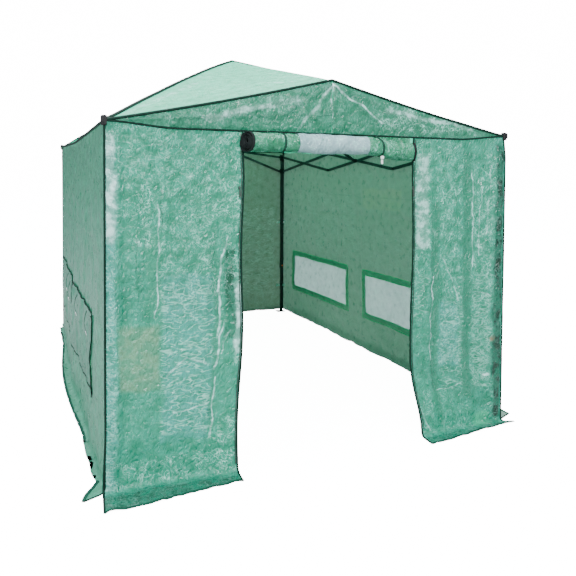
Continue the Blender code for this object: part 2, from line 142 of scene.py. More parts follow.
# ---------------------------------------------------------------- materials
class Look:
    """A material or world in the making: each method adds a shader node and gives its result."""

    def __init__(self, holder):
        holder.use_nodes = True
        self.holder, self.nodes, self.links = holder, holder.node_tree.nodes, holder.node_tree.links
        self.nodes.clear()

    def feed(self, socket, value):
        if isinstance(value, bpy.types.NodeSocket):
            self.links.new(value, socket)
        else:
            socket.default_value = value

    def put(self, kind, inputs=(), output=0, **settings):
        """Adds a node. inputs holds (socket name or number, value or socket) pairs."""
        node = self.nodes.new("ShaderNode" + kind)
        for key, value in settings.items():
            setattr(node, key, value)
        for key, value in inputs:
            self.feed(node.inputs[key], value)
        return node.outputs[output]

    def finish(self, surface, kind="OutputMaterial"):
        self.feed(self.nodes.new("ShaderNode" + kind).inputs["Surface"], surface)
        return self.holder

    def math(self, operation, a, b=0.0, clamp=False):
        return self.put("Math", [(0, a), (1, b)], operation=operation, use_clamp=clamp)

    def times(self, a, b, clamp=False):
        return self.math("MULTIPLY", a, b, clamp)

    def plus(self, a, b):
        return self.math("ADD", a, b)

    def most(self, a, b):
        return self.math("MAXIMUM", a, b)

    def vector(self, operation, *inputs, output=0):
        return self.put("VectorMath", list(enumerate(inputs)), output, operation=operation)

    def axis(self, vector, name):
        return self.put("SeparateXYZ", [(0, vector)], name)

    def mix(self, share, a, b):
        """The colour a at share 0 and b at share 1."""
        node = self.nodes.new("ShaderNodeMix")
        node.data_type, node.clamp_factor = "RGBA", True
        sockets = {s.identifier: s for s in node.inputs}
        self.feed(sockets["Factor_Float"], share)
        for key, value in (("A_Color", a), ("B_Color", b)):
            self.feed(sockets[key], (*value, 1) if isinstance(value, tuple) else value)
        return next(s for s in node.outputs if s.identifier == "Result_Color")

    def ramp(self, value, low, high):
        """0 below low, 1 above high, smooth between."""
        return self.put("MapRange", [(0, value), (1, low), (2, high)], interpolation_type="SMOOTHSTEP")

    def place(self, stretch=(1, 1, 1)):
        """The cloth's own coordinates in metres, from its UV map, scaled by stretch."""
        return self.put("Mapping", [(0, self.put("UVMap", uv_map="metres")), ("Scale", stretch)])

    def noise(self, place, scale, detail, bend=0.0, output=0, kind="FBM"):
        inputs = [("Vector", place), ("Scale", scale), ("Detail", detail), ("Distortion", bend)]
        return self.put("TexNoise", inputs, output, noise_type=kind)

    def contour(self, stretch, scale, half, bend):
        """Thin wandering lines: where a noise passes its middle value."""
        value = self.noise(self.place(stretch), scale, 1.5, bend)
        return self.ramp(self.math("ABSOLUTE", self.math("SUBTRACT", value, 0.5)), half, 0.0)

    def area(self, u, v, box, soft=0.012):
        """1 inside the rectangle (u0, u1, v0, v1) in millimetres, fading over soft metres."""
        u0, u1, v0, v1 = (side / 1000 for side in box)
        wide = self.times(self.ramp(u, u0 - soft, u0 + soft), self.ramp(u, u1 + soft, u1 - soft))
        tall = self.times(self.ramp(v, v0 - soft, v0 + soft), self.ramp(v, v1 + soft, v1 - soft))
        return self.times(wide, tall)

    def stroke(self, place, line):
        """1 on the segment (u0, v0, u1, v1, half width) in millimetres, fading over its half width."""
        u0, v0, u1, v1, half = (size / 1000 for size in line)
        reach = (u1 - u0, v1 - v0, 0.0)
        size = reach[0] ** 2 + reach[1] ** 2
        start = self.vector("SUBTRACT", place, (u0, v0, 0.0))
        dot = self.vector("DOT_PRODUCT", start, tuple(r / size for r in reach), output="Value")
        share = self.times(dot, 1.0, True)
        near = self.put("VectorMath", [(0, reach), ("Scale", share)], operation="SCALE")
        return self.ramp(self.vector("DISTANCE", start, near, output="Value"), half, 0.2 * half)

    def bump(self, height, strength):
        return self.put("Bump", [("Height", height), ("Strength", strength), ("Distance", 1.0)])

    def skin(self, tint, gloss, bump, shine, *more):
        """A Principled surface; more holds further inputs."""
        inputs = [("Base Color", tint), ("Roughness", gloss), ("Normal", bump), ("Specular IOR Level", shine)]
        return self.put("BsdfPrincipled", inputs + list(more))


GRID_PITCH = 0.0095
# Pale mint painted along crease lines: partly the whitening of creased polyethylene, partly painted glints.
CREASE_WHITE_AND_GLINT = (0.44, 0.9, 0.76)


def cloth_look(name, body, pale, through, clear=0.012, glow=0.36, crush=1.0, open_weave=0.0, coat=0.28,
               shine=0.35, marks=0.3, dense=(), ripples=(), patches=(), strokes=()):
    """Woven polyethylene: tape weave, a reinforcing grid, crease whitening with painted glints, fine crumple
    and see-through.

    marks is how densely painted glints, partly crease whitening, cover it. In millimetres along and up the
    sheet, dense and ripples add areas of them (u0, u1, v0, v1, gain), patches paint highlights, reflections,
    see-through and shade (u0, u1, v0, v1, share, colour), and strokes draw painted highlight and shade lines
    along folds (u0, v0, u1, v1, half width, share, colour).
    """
    s = Look(bpy.data.materials.new(name))
    place = s.place()
    waves = [s.math("SINE", s.times(s.axis(place, way), math.tau / GRID_PITCH)) for way in "XY"]
    threads = s.most(*(s.math("POWER", s.math("ABSOLUTE", wave), 9.0) for wave in waves))
    wander = s.noise(place, 8.0, 3.0, output="Color")
    wander = s.vector("MULTIPLY_ADD", wander, (0.06, 0.06, 0.0), (-0.03, -0.03, 0.0))
    bent = s.vector("ADD", place, wander)
    u, v = s.axis(bent, "X"), s.axis(bent, "Y")
    broad, mottle = s.noise(place, 2.3, 3.0), s.noise(place, 17.0, 4.0)
    ridge = s.noise(s.place((1.0, 0.62, 1)), 30.0, 1.0, 0.7, kind="RIDGED_MULTIFRACTAL")
    cell_inputs = [("Vector", s.place((1.0, 0.7, 1))), ("Scale", 42.0), ("Randomness", 1.0)]
    cells = s.put("TexVoronoi", cell_inputs, feature="DISTANCE_TO_EDGE")

    density = s.plus(s.times(s.ramp(broad, 0.4, 0.66), marks), 0.5 * marks)
    for *box, gain in dense:
        density = s.plus(density, s.times(s.area(u, v, box), gain))
    worms = s.most(s.contour((1.0, 0.85, 1), 23.0, 0.03, 0.9), s.contour((1.0, 0.9, 1), 47.0, 0.034, 0.6))
    worms = s.times(worms, s.ramp(mottle, 0.36, 0.62))
    broken = s.plus(s.times(s.most(worms, s.ramp(mottle, 0.46, 0.6)), 0.8), 0.2)
    patchy = s.plus(s.times(s.ramp(mottle, 0.4, 0.6), 0.6), 0.5)
    # Where the painted glints and crease whitening fall.
    glints_and_whitening = s.times(worms, density, True)
    for *box, gain in ripples:
        wavy = s.times(s.contour((0.32, 1.0, 1), 36.0, 0.045, 0.7), s.times(s.area(u, v, box), gain), True)
        glints_and_whitening = s.most(glints_and_whitening, wavy)

    tint = s.mix(s.ramp(mottle, 0.3, 0.72), body, pale)
    tint = s.mix(s.times(s.ramp(broad, 0.35, 0.75), 0.45), tint, through)
    # Painted highlights, reflections, see-through and shade on the listed areas.
    for *box, share, colour in patches:
        where = s.times(s.area(u, v, box, 0.014), share)
        tint = s.mix(s.times(where, broken if colour == PAINTED_HIGHLIGHT else patchy, True), tint, colour)
    tint = s.mix(s.times(threads, 0.2), tint, tuple(0.45 * c for c in body))
    # Paints the glints, partly crease whitening, into the base colour.
    tint = s.mix(s.times(glints_and_whitening, 0.85, True), tint, CREASE_WHITE_AND_GLINT)
    # Painted highlight and shade lines along folds.
    for *line, share, colour in strokes:
        tint = s.mix(s.times(s.times(s.stroke(bent, line), share), broken), tint, colour)

    height = s.times(s.ramp(ridge, 0.2, 1.8), 0.009 * crush)
    for relief, gain in ((cells, 0.015 * crush), (worms, 0.0012 * crush), (threads, 0.00022)):
        height = s.plus(height, s.times(relief, gain))
    bump = s.bump(height, 0.9)
    gloss = s.plus(s.times(mottle, 0.22), 0.19)
    film = [("Coat Weight", coat), ("Coat Roughness", 0.13), ("Coat Normal", bump)]
    front = s.skin(tint, gloss, bump, shine, *film)
    back = s.put("BsdfTranslucent", [("Color", tint), ("Normal", bump)])
    sheet = s.put("MixShader", [(0, glow), (1, front), (2, back)])
    gap = s.put("BsdfTransparent", [("Color", (*through, 1))])
    holes = s.plus(s.times(threads, -open_weave), clear + open_weave) if open_weave else clear
    return s.finish(s.put("MixShader", [(0, holes), (1, sheet), (2, gap)]))


def band_look(name, colour, rough=0.62):
    """Woven webbing or bias binding: close ribs across, fuzz and faded edges."""
    s = Look(bpy.data.materials.new(name))
    place = s.put("TexCoord", output="Object")
    grain, broad = s.noise(place, 260.0, 3.0), s.noise(place, 9.0, 2.0)
    rib_inputs = [("Vector", place), ("Scale", 95.0), ("Distortion", 0.6), ("Detail", 1.0)]
    rib = s.put("TexWave", rib_inputs, "Fac", bands_direction="DIAGONAL")
    light = tuple(min(1.0, 1.9 * c + 0.004) for c in colour)
    tint = s.mix(s.ramp(grain, 0.35, 0.8), colour, light)
    tint = s.mix(s.times(s.ramp(broad, 0.4, 0.8), 0.4), tint, light)
    bump = s.bump(s.plus(s.times(rib, 0.0004), s.times(grain, 0.0003)), 0.7)
    return s.finish(s.skin(tint, rough, bump, 0.08))


def hard_look(name, colour, worn, rough, wear=0.35):
    """Powder coat or moulded plastic: fine texture, uneven gloss, and rubbed edges."""
    s = Look(bpy.data.materials.new(name))
    place = s.put("TexCoord", output="Object")
    grain, smear = s.noise(place, 420.0, 3.0), s.noise(place, 14.0, 5.0, 0.4)
    rubbed = s.ramp(s.put("NewGeometry", output="Pointiness"), 0.53, 0.62)
    scuffs = s.times(rubbed, s.ramp(smear, 0.42, 0.62))
    tint = s.mix(s.times(s.ramp(smear, 0.3, 0.8), 0.35), colour, worn)
    tint = s.mix(s.times(scuffs, wear), tint, tuple(min(1, 3 * c) for c in worn))
    gloss = s.plus(s.times(smear, 0.3), rough - 0.15)
    return s.finish(s.skin(tint, gloss, s.bump(s.times(grain, 0.00012), 0.8), 0.3))


# Painted highlight for glint patches and lines, and painted shade for folds and for shadows seen through the
# cloth.
PAINTED_HIGHLIGHT, PAINTED_SHADE = (0.66, 0.97, 0.93), (0.006, 0.07, 0.042)
# A painted see-through tint of things behind the cloth, and a painted bluish sky reflection.
PAINTED_SEE_THROUGH, PAINTED_SKY_REFLECTION = (0.2, 0.32, 0.175), (0.065, 0.36, 0.33)
FRONT = {"body": (0.016, 0.22, 0.13), "pale": (0.036, 0.35, 0.24), "through": (0.03, 0.3, 0.19),
         "glow": 0.28}
# Painted light on the front-left panel: glint areas, highlight and reflection patches, a see-through patch,
# and painted shade in folds and on the skirt.
LEFT_PAINTED_LIGHT = {
    "marks": 0.2,
    "dense": [
        (-100, 800, 1330, 1900, 0.44), (260, 550, 920, 1350, 0.52), (150, 220, 1200, 1500, 0.5),
        (600, 800, 980, 1450, 0.4), (655, 800, 550, 1150, 0.7), (-100, 50, 0, 1200, 0.55),
        (-100, 800, 20, 130, 0.8), (580, 800, 100, 320, 0.6),
    ],
    "ripples": [(270, 535, 240, 1000, 0.62), (-100, 50, 0, 900, 0.5)],
    "patches": [
        (280, 535, 200, 1050, 0.55, PAINTED_SKY_REFLECTION), (64, 262, 480, 800, 0.62, PAINTED_SEE_THROUGH),
        (-100, 52, 0, 1700, 0.45, (0.1, 0.46, 0.43)), (-100, 46, 1220, 1740, 1.0, PAINTED_HIGHLIGHT),
        (655, 700, 620, 980, 0.9, PAINTED_HIGHLIGHT), (600, 655, 700, 1160, 1.0, (0.006, 0.085, 0.045)),
        (530, 560, 250, 1300, 0.5, (0.012, 0.15, 0.085)), (-100, 800, -200, -35, 0.9, (0.012, 0.085, 0.05)),
        (195, 262, 850, 1250, 0.45, (0.03, 0.27, 0.155)),
    ],
    "strokes": [
        (268, 1470, 276, 1250, 6, 0.75, PAINTED_SHADE), (258, 1400, 252, 920, 6, 0.75, PAINTED_HIGHLIGHT),
        (252, 920, 235, 840, 6, 0.8, PAINTED_HIGHLIGHT), (150, 1500, 152, 950, 5.5, 0.5, PAINTED_SHADE),
        (183, 1480, 186, 1050, 4.5, 0.45, PAINTED_SHADE), (56, 1100, 60, 100, 6, 0.45, PAINTED_SHADE),
        (622, 1225, 585, 1130, 6, 0.9, PAINTED_HIGHLIGHT), (585, 1130, 566, 950, 9, 0.9, PAINTED_HIGHLIGHT),
        (566, 950, 562, 720, 9, 0.8, PAINTED_HIGHLIGHT), (590, 780, 545, 550, 8, 0.8, PAINTED_HIGHLIGHT),
        (625, 740, 575, 620, 6, 0.7, PAINTED_HIGHLIGHT), (555, 500, 548, 200, 7, 0.6, PAINTED_HIGHLIGHT),
        (300, 550, 400, 620, 8, 0.8, PAINTED_HIGHLIGHT), (400, 620, 500, 590, 8, 0.6, PAINTED_HIGHLIGHT),
        (340, 345, 520, 375, 6, 0.8, PAINTED_HIGHLIGHT), (360, 52, 520, 85, 5, 0.7, PAINTED_SHADE),
        (60, 1735, 520, 1700, 7, 0.5, PAINTED_SHADE), (530, 1200, 500, 600, 20, 0.35, PAINTED_SHADE),
        (0, -25, 680, 0, 10, 0.5, PAINTED_SHADE), (530, 420, 520, 100, 14, 0.35, PAINTED_SHADE),
    ],
}
# Painted light on the front-right panel: glint areas, highlight and sky-reflection patches, a painted shadow
# of the leg behind it, a painted see-through orange spot of a leg button, and painted shade in folds and on
# the skirt; one patch makes the foot lighter green.
RIGHT_PAINTED_LIGHT = {
    "marks": 0.2,
    "dense": [
        (-100, 125, 980, 1800, 0.62), (200, 360, 420, 1500, 0.5), (432, 585, 280, 1700, 0.55),
        (150, 360, 1400, 1800, 0.5), (-100, 110, 0, 260, 0.6), (160, 420, 0, 240, 0.3),
    ],
    "ripples": [(210, 370, 250, 800, 0.5), (440, 580, 250, 950, 0.5), (-100, 120, 700, 980, 0.4)],
    "patches": [
        (30, 105, 1120, 1700, 0.65, PAINTED_HIGHLIGHT), (200, 340, 400, 800, 0.5, PAINTED_SKY_REFLECTION),
        (598, 655, 40, 1750, 1.0, (0.004, 0.036, 0.02)), (365, 428, 200, 1720, 0.6, (0.012, 0.14, 0.075)),
        (135, 185, 50, 1400, 0.6, (0.012, 0.14, 0.075)), (440, 570, -30, 75, 0.6, (0.03, 0.48, 0.24)),
        (-100, 800, -200, -35, 0.6, (0.012, 0.085, 0.05)), (575, 600, 525, 555, 0.7, (0.55, 0.16, 0.08)),
    ],
    "strokes": [
        (434, 1600, 440, 1000, 7, 0.9, PAINTED_HIGHLIGHT), (500, 1500, 485, 1080, 6, 0.6, PAINTED_HIGHLIGHT),
        (560, 1620, 545, 1200, 5, 0.5, PAINTED_HIGHLIGHT), (128, 1450, 152, 100, 7, 0.45, PAINTED_SHADE),
        (145, 950, 140, 450, 5, 0.6, PAINTED_HIGHLIGHT), (597, 1700, 600, 60, 6, 0.6, PAINTED_SHADE),
        (648, 1700, 650, 60, 6, 0.6, PAINTED_SHADE), (170, 265, 360, 270, 5, 0.5, PAINTED_HIGHLIGHT),
        (220, 1060, 340, 800, 6, 0.4, PAINTED_HIGHLIGHT), (440, 840, 580, 800, 6, 0.6, PAINTED_HIGHLIGHT),
        (530, 320, 565, 318, 11, 0.8, PAINTED_HIGHLIGHT), (20, 140, 50, 20, 8, 0.6, PAINTED_HIGHLIGHT),
    ],
}
# Painted light on the gables: glint areas, and painted highlight and shade lines along folds.
GABLE_PAINTED_LIGHT = {
    "marks": 0.26,
    "dense": [(-750, -150, 1840, 1970, 0.25), (300, 1000, 1800, 1960, 0.6)],
    "strokes": [
        (-700, 1835, -200, 1955, 22, 0.55, PAINTED_HIGHLIGHT), (-5, 2050, 5, 1860, 6, 0.7, PAINTED_HIGHLIGHT),
        (12, 2050, 22, 1800, 6, 0.5, PAINTED_SHADE), (0, 2040, -360, 1830, 20, 0.45, PAINTED_SHADE),
        (0, 2040, -200, 1800, 14, 0.4, PAINTED_HIGHLIGHT), (-1100, 1812, -300, 1868, 10, 0.55, PAINTED_SHADE),
        (-300, 1868, 0, 1874, 6, 0.6, PAINTED_SHADE), (0, 2040, 330, 1840, 9, 0.8, PAINTED_HIGHLIGHT),
        (20, 2020, 620, 1860, 22, 0.4, PAINTED_SHADE), (350, 1920, 950, 1845, 18, 0.55, PAINTED_HIGHLIGHT),
    ],
}
# Painted glint lines on the roof.
ROOF_PAINTED_LIGHT = {
    "marks": 0.34,
    "strokes": [
        (-1100, -1700, -550, -1050, 30, 0.4, PAINTED_HIGHLIGHT), (-1150, -1450, -300, -400, 16, 0.4, PAINTED_HIGHLIGHT),
        (-150, -1550, -400, -1300, 14, 0.6, PAINTED_HIGHLIGHT), (-550, -850, -300, -750, 12, 0.5, PAINTED_HIGHLIGHT),
    ],
}
# Painted light inside: faint glint ripples and painted shade lines; patches give a tan tint and a greener
# foot.
INNER_PAINTED_LIGHT = {
    "marks": 0.1,
    "ripples": [(1900, 3600, 780, 1400, 0.16), (0, 3600, 780, 1100, 0.12)],
    "patches": [(1150, 1750, 1280, 1460, 0.35, (0.26, 0.36, 0.2)),
                (-200, 3800, -200, 300, 0.2, (0.1, 0.26, 0.16))],
    "strokes": [
        (2000, 1700, 2000, 1380, 10, 0.35, PAINTED_SHADE), (400, 1370, 3400, 1400, 9, 0.25, PAINTED_SHADE),
        (950, 1660, 950, 1250, 10, 0.3, PAINTED_SHADE),
    ],
}
SHADED = {"glow": 0.26, "coat": 0.2, "shine": 0.3}
# The cover is one cloth, but each part gets its own colour for how lit it looks: painted light on the front
# panels, the roof and the window borders, painted shade on the gables, the side and rear walls, the inside
# and the door roll.
LOOKS = {
    "front_left": cloth_look("cover_front_left_painted_light", **FRONT, **LEFT_PAINTED_LIGHT),
    "front_right": cloth_look("cover_front_right_painted_light", **FRONT, **RIGHT_PAINTED_LIGHT),
    "roof": cloth_look("cover_roof_painted_light", (0.016, 0.56, 0.29), (0.04, 0.76, 0.45), (0.05, 0.74, 0.44),
                       glow=0.42, crush=0.5, coat=0.0, shine=0.25, **ROOF_PAINTED_LIGHT),
    "gable": cloth_look("cover_gable_painted_shade", (0.016, 0.165, 0.092), (0.036, 0.245, 0.155), (0.03, 0.22, 0.135),
                        crush=0.8, glow=0.26, **GABLE_PAINTED_LIGHT),
    "side": cloth_look("cover_side_painted_shade", (0.04, 0.235, 0.14), (0.065, 0.33, 0.21), (0.05, 0.25, 0.155),
                       crush=0.12, glow=0.26, coat=0.08, shine=0.25, marks=0.16),
    "inner": cloth_look("cover_inner_painted_shade", (0.16, 0.275, 0.205), (0.185, 0.325, 0.24), (0.165, 0.29, 0.215),
                        crush=0.12, **SHADED, **INNER_PAINTED_LIGHT),
    "rear": cloth_look("cover_rear_painted_shade", (0.125, 0.2, 0.145), (0.15, 0.245, 0.18), (0.14, 0.22, 0.15),
                       crush=0.3, marks=0.12, ripples=[(1300, 2300, 200, 1200, 0.22)], **SHADED),
    "roll": cloth_look("cover_roll_painted_shade", (0.01, 0.165, 0.075), (0.022, 0.25, 0.13), (0.018, 0.22, 0.11),
                       clear=0.0, glow=0.12, marks=0.5),
    "border": cloth_look("cover_border_painted_light", (0.24, 0.52, 0.36), (0.28, 0.58, 0.41), (0.26, 0.55, 0.38),
                         crush=0.12, marks=0.05, coat=0.2),
    "screen": cloth_look("window_mesh", (0.25, 0.36, 0.35), (0.35, 0.47, 0.46), (0.47, 0.6, 0.59),
                         glow=0.3, crush=0.12, clear=0.02, open_weave=0.02, marks=0.2, coat=0.1),
    "binding": band_look("binding_tape", (0.002, 0.014, 0.009)),
    "hem": band_look("hem_tape", (0.005, 0.045, 0.028)),
    "webbing": band_look("strap_webbing", (0.006, 0.028, 0.018), 0.7),
    "roll_mesh": cloth_look("door_mesh", (0.19, 0.33, 0.35), (0.3, 0.46, 0.49), (0.38, 0.54, 0.57),
                            glow=0.2, clear=0.0, crush=0.6, marks=0.4),
    "piping": band_look("window_piping", (0.08, 0.42, 0.22)),
    "black_edge": band_look("roll_edge_tape", (0.006, 0.008, 0.008), 0.8),
    "white_tape": band_look("hook_tape", (0.9, 0.92, 0.91), 0.8),
    "leg_steel": hard_look("steel_leg", (0.018, 0.019, 0.02), (0.045, 0.047, 0.05), 0.42),
    "bar_steel": hard_look("steel_bar", (0.012, 0.013, 0.014), (0.03, 0.032, 0.034), 0.45),
    "joint_plastic": hard_look("black_plastic", (0.005, 0.005, 0.006), (0.012, 0.012, 0.013), 0.65, 0.1),
    "button_plastic": hard_look("orange_plastic", (0.85, 0.1, 0.03), (0.88, 0.2, 0.07), 0.38, 0.1),
    "zip_plastic": hard_look("zip_plastic", (0.02, 0.035, 0.028), (0.06, 0.08, 0.07), 0.45, 0.2),
    "white_plastic": hard_look("white_plastic", (0.7, 0.71, 0.7), (0.6, 0.6, 0.58), 0.4, 0.0),
}

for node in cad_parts.values():
    old = node.data.materials[0].name if node.data.materials else ""
    key = next((k for k in LOOKS if old.startswith(k)), "joint_plastic")
    node.data.materials.clear()
    node.data.materials.append(LOOKS[key])


# ---------------------------------------------------------------- mesh makers
def mesh_piece(name, points, faces, look, slot, uv=None, normals=None):
    """A new object from points and faces, with its material and metre UVs; slot is not used."""
    mesh = bpy.data.meshes.new(name)
    mesh.from_pydata(points.tolist(), [], faces)
    mesh.update()
    mesh.polygons.foreach_set("use_smooth", [True] * len(mesh.polygons))
    if uv is not None:
        corners = np.zeros(len(mesh.loops), np.int32)
        mesh.loops.foreach_get("vertex_index", corners)
        layer = mesh.uv_layers.new(name="metres")
        layer.data.foreach_set("uv", uv[corners].astype(np.float32).ravel())
    if normals is not None:
        mesh.normals_split_custom_set_from_vertices(normals.tolist())
    mesh.materials.append(LOOKS[look])
    piece = bpy.data.objects.new(name, mesh)
    bpy.context.scene.collection.objects.link(piece)
    return piece


def cloth(name, grid, uv, look, slot="woven_cover", keep=None, normals=None):
    """A sheet from a rows x columns grid. keep marks the faces that stay."""
    rows, columns = grid.shape[:2]
    index = np.arange(rows * columns).reshape(rows, columns)
    quads = np.stack([index[:-1, :-1], index[:-1, 1:], index[1:, 1:], index[1:, :-1]], axis=-1)
    quads = quads.reshape(-1, 4) if keep is None else quads[keep]
    if normals is None:
        normals = grid_normals(grid)
    points, used = grid.reshape(-1, 3), quads.ravel()
    _, first, merged = np.unique(np.round(points[used], 6), axis=0, return_index=True, return_inverse=True)
    source = used[first]
    faces = [list(dict.fromkeys(f)) for f in merged.reshape(-1, 4).tolist()]
    faces = [f for f in faces if len(f) > 2]
    return mesh_piece(
        name, points[source], faces, look, slot, uv.reshape(-1, 2)[source], normals.reshape(-1, 3)[source]
    )


def sweep(paths, wide, thick, sides=8):
    """Points and faces of closed flattened tubes along paths of (points, face normals)."""
    points, faces = [], []
    for line, normal in paths:
        line, normal = np.asarray(line, float), unit(np.broadcast_to(normal, np.shape(line)).astype(float))
        along = unit(np.gradient(line, axis=0))
        across = unit(np.cross(along, normal))
        normal = np.cross(across, along)
        base, count = len(points), len(line)
        for k in range(count):
            for i in range(sides):
                a = math.tau * (i + 0.5) / sides
                rim = across[k] * (wide / 2 * math.cos(a)) + normal[k] * (thick / 2 * math.sin(a))
                points.append(line[k] + rim)
        for k in range(count - 1):
            for i in range(sides):
                j = (i + 1) % sides
                a, b = base + k * sides, base + (k + 1) * sides
                faces.append([a + i, a + j, b + j, b + i])
        faces.append([base + i for i in range(sides)][::-1])
        faces.append([base + (count - 1) * sides + i for i in range(sides)])
    return np.array(points), faces


def ribbon(name, paths, wide, thick, look="binding", slot="webbing", sides=8):
    points, faces = sweep(paths, wide, thick, sides)
    return mesh_piece(name, points, [f[::-1] for f in faces], look, slot)


def joined(name, parts, look, slot):
    """One piece from several (points, faces) meshes."""
    points, faces, base = [], [], 0
    for part_points, part_faces in parts:
        points.append(np.asarray(part_points, float))
        faces.extend([[base + i for i in f] for f in part_faces])
        base += len(part_points)
    return mesh_piece(name, np.concatenate(points), faces, look, slot)


def soft_box(centre, size, round_off=0.35, steps=6):
    """Points and faces of a box with rounded edges, from a gridded cube pushed towards an ellipsoid."""
    seen, points, faces = {}, [], []

    def vertex(p):
        key = tuple(np.round(p, 5))
        if key not in seen:
            q = np.array(p, float)
            ball = q / np.linalg.norm(q)
            box = np.sign(q) * np.abs(q) ** 0.8
            seen[key] = len(points)
            points.append(box * (1 - round_off) + ball * round_off)
        return seen[key]

    for axis in range(3):
        for side in (-1, 1):
            for i in range(steps):
                for j in range(steps):
                    quad = []
                    for a, b in ((0, 0), (1, 0), (1, 1), (0, 1)):
                        p = np.zeros(3)
                        p[axis] = side
                        p[(axis + 1) % 3] = 2 * (i + a) / steps - 1
                        p[(axis + 2) % 3] = 2 * (j + b) / steps - 1
                        quad.append(vertex(p))
                    faces.append(quad if side > 0 else quad[::-1])
    return np.array(points) * (np.asarray(size) / 2) + np.asarray(centre), faces


def attach(piece, body, axis, anchor, keep):
    """Rides piece on a body, with a mesh of its own."""
    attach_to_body(piece, body)
    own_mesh(piece)
    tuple(axis)
    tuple(anchor)
    return piece


X_AXIS, Y_AXIS = (1, 0, 0), (0, 1, 0)
FOLDS = {
    "left": ("leg_fl", Y_AXIS, (-HALF_X, -HALF_Y, 1.0), 0.13),
    "right": ("leg_fr", Y_AXIS, (HALF_X, -HALF_Y, 1.0), 0.13),
    "front_left": ("leg_fl", X_AXIS, (-HALF_X, -HALF_Y, 1.0), 0.15),
    "front_right": ("leg_fr", X_AXIS, (HALF_X, -HALF_Y, 1.0), 0.15),
    "rear": ("leg_rl", X_AXIS, (-HALF_X, HALF_Y, 1.0), 0.155),
}


def fold_with(piece, where):
    return attach(piece, *FOLDS[where])


def tape(where, *ribbon_args):
    return fold_with(ribbon(*ribbon_args), where)


# ---------------------------------------------------------------- camera
CAMERA = (-1.551, -4.839, 1.528)
YAW, PITCH, TILT = math.radians(23.0), math.radians(2.036), math.radians(0.38)
ahead = Vector((math.sin(YAW) * math.cos(PITCH), math.cos(YAW) * math.cos(PITCH), -math.sin(PITCH)))
right = Vector((math.cos(YAW), -math.sin(YAW), 0))
above = right.cross(ahead)
turned_right = math.cos(TILT) * right + math.sin(TILT) * above
turned_up = -math.sin(TILT) * right + math.cos(TILT) * above
camera = bpy.data.objects.new("camera", bpy.data.cameras.new("camera"))
camera.data.lens, camera.data.sensor_width = 38.7, 36.0
camera.data.shift_y = -0.15125
turn = Matrix((turned_right, turned_up, -ahead)).transposed().to_4x4()
camera.matrix_world = Matrix.Translation(CAMERA) @ turn
bpy.context.scene.collection.objects.link(camera)
bpy.context.scene.camera = camera


# ---------------------------------------------------------------- roof
def side_height(x):
    return EAVE + (HALF_X - np.abs(x)) * (PEAK - EAVE) / HALF_X


def end_height(x, y):
    rim = EAVE + (HALF_X - np.abs(x)) * (APEX - EAVE) / HALF_X
    return rim + (HALF_Y - np.abs(y)) * (PEAK - APEX) / HALF_Y


def front_sag(x):
    """How far the front eave seam hangs between its corners."""
    return 0.026 * smooth((HALF_X - np.abs(x)) / 0.35)


def rear_lift(y):
    """How far the cover rides up towards its rear edge."""
    return 0.03 * smooth((y + 0.2) / (HALF_Y + 0.2))


def eave_sag(y):
    """How far the long eaves hang between the corners."""
    t = (y + HALF_Y) / (2 * HALF_Y)
    waves = 0.003 * noise(y, 0 * y, 0.45, 5) * smooth(8 * t) * smooth(8 - 8 * t)
    return 0.014 * arch(t) ** 0.8 + waves


def roof_height(x, y):
    """The cover's height: six taut slopes that sag a little between their seams."""
    side, end = side_height(x), end_height(x, y)
    flat = np.minimum(side, end)
    seam = np.minimum(np.abs(side - end) / 0.42, np.where(end < side, np.abs(x), 9.0))
    rim = np.where(end < side, (HALF_Y - np.abs(y)), 9.0)
    inner = np.minimum(seam, rim)
    sag = 0.02 * (1 - np.exp(-inner / 0.16))
    wrinkle = crumple(x, y, 31, 0.75) * smooth(inner / 0.05)
    wrinkle = wrinkle + 0.004 * noise(x, y, 0.4, 3) * smooth(inner / 0.1)
    drop = eave_sag(y) * np.exp(-(HALF_X - np.abs(x)) / 0.16)
    from_rim = HALF_Y - np.abs(y)
    near_rim = np.exp(-from_rim / 0.2)
    bow = np.sin(np.pi * np.abs(x) / HALF_X) * (0.02 * (1 - near_rim) - 0.01 * near_rim)
    pull = creases(x, y, ROOF_CREASES) + bow + rear_lift(y)
    return flat - sag - drop + wrinkle + pull + 0.003 * noise(x, y, 0.3, 9) * smooth(from_rim / 0.2)


ROOF_CREASES = [
    (-1150, -1600, -400, -500, 5, 30), (-1150, -1100, -250, -150, 4, 30),
    (-100, -1700, -550, -1100, 4, 25), (200, -1650, 700, -1250, 4, 25),
    (-900, 300, -200, 50, 4, 30), (900, -600, 250, -100, 4, 30), (800, 900, 100, 200, 4, 30),
]
BANDS = [
    ("1", -HALF_X, -0.8, "leg_fl", -HALF_Y, 0.137),
    ("2", -0.8, -0.2, "rafter_lower_left", -0.04, 0.12),
    ("3", -0.2, 0.2, "peak_hub", -0.0417, 0.12),
    ("4", 0.2, 0.8, "rafter_lower_right", -0.04, 0.12),
    ("5", 0.8, HALF_X, "leg_fr", -HALF_Y, 0.137),
]


def roof_columns(xs):
    """A grid over the roof whose rows run from the front rim to the rear one and meet at the hips."""
    end_share, side_share = np.linspace(0, 1, 64), np.linspace(0, 1, 150)
    share = np.concatenate([end_share, 1 + side_share[1:], 2 + end_share[1:]])
    hip = HALF_Y * np.abs(xs) / HALF_X
    stops = np.stack([0 * xs - HALF_Y, -hip, hip, 0 * xs + HALF_Y])
    part = np.minimum(share.astype(int), 2)
    t = (share - part)[:, None]
    y = stops[part] * (1 - t) + stops[part + 1] * t
    x = np.broadcast_to(xs, y.shape)
    return x, y


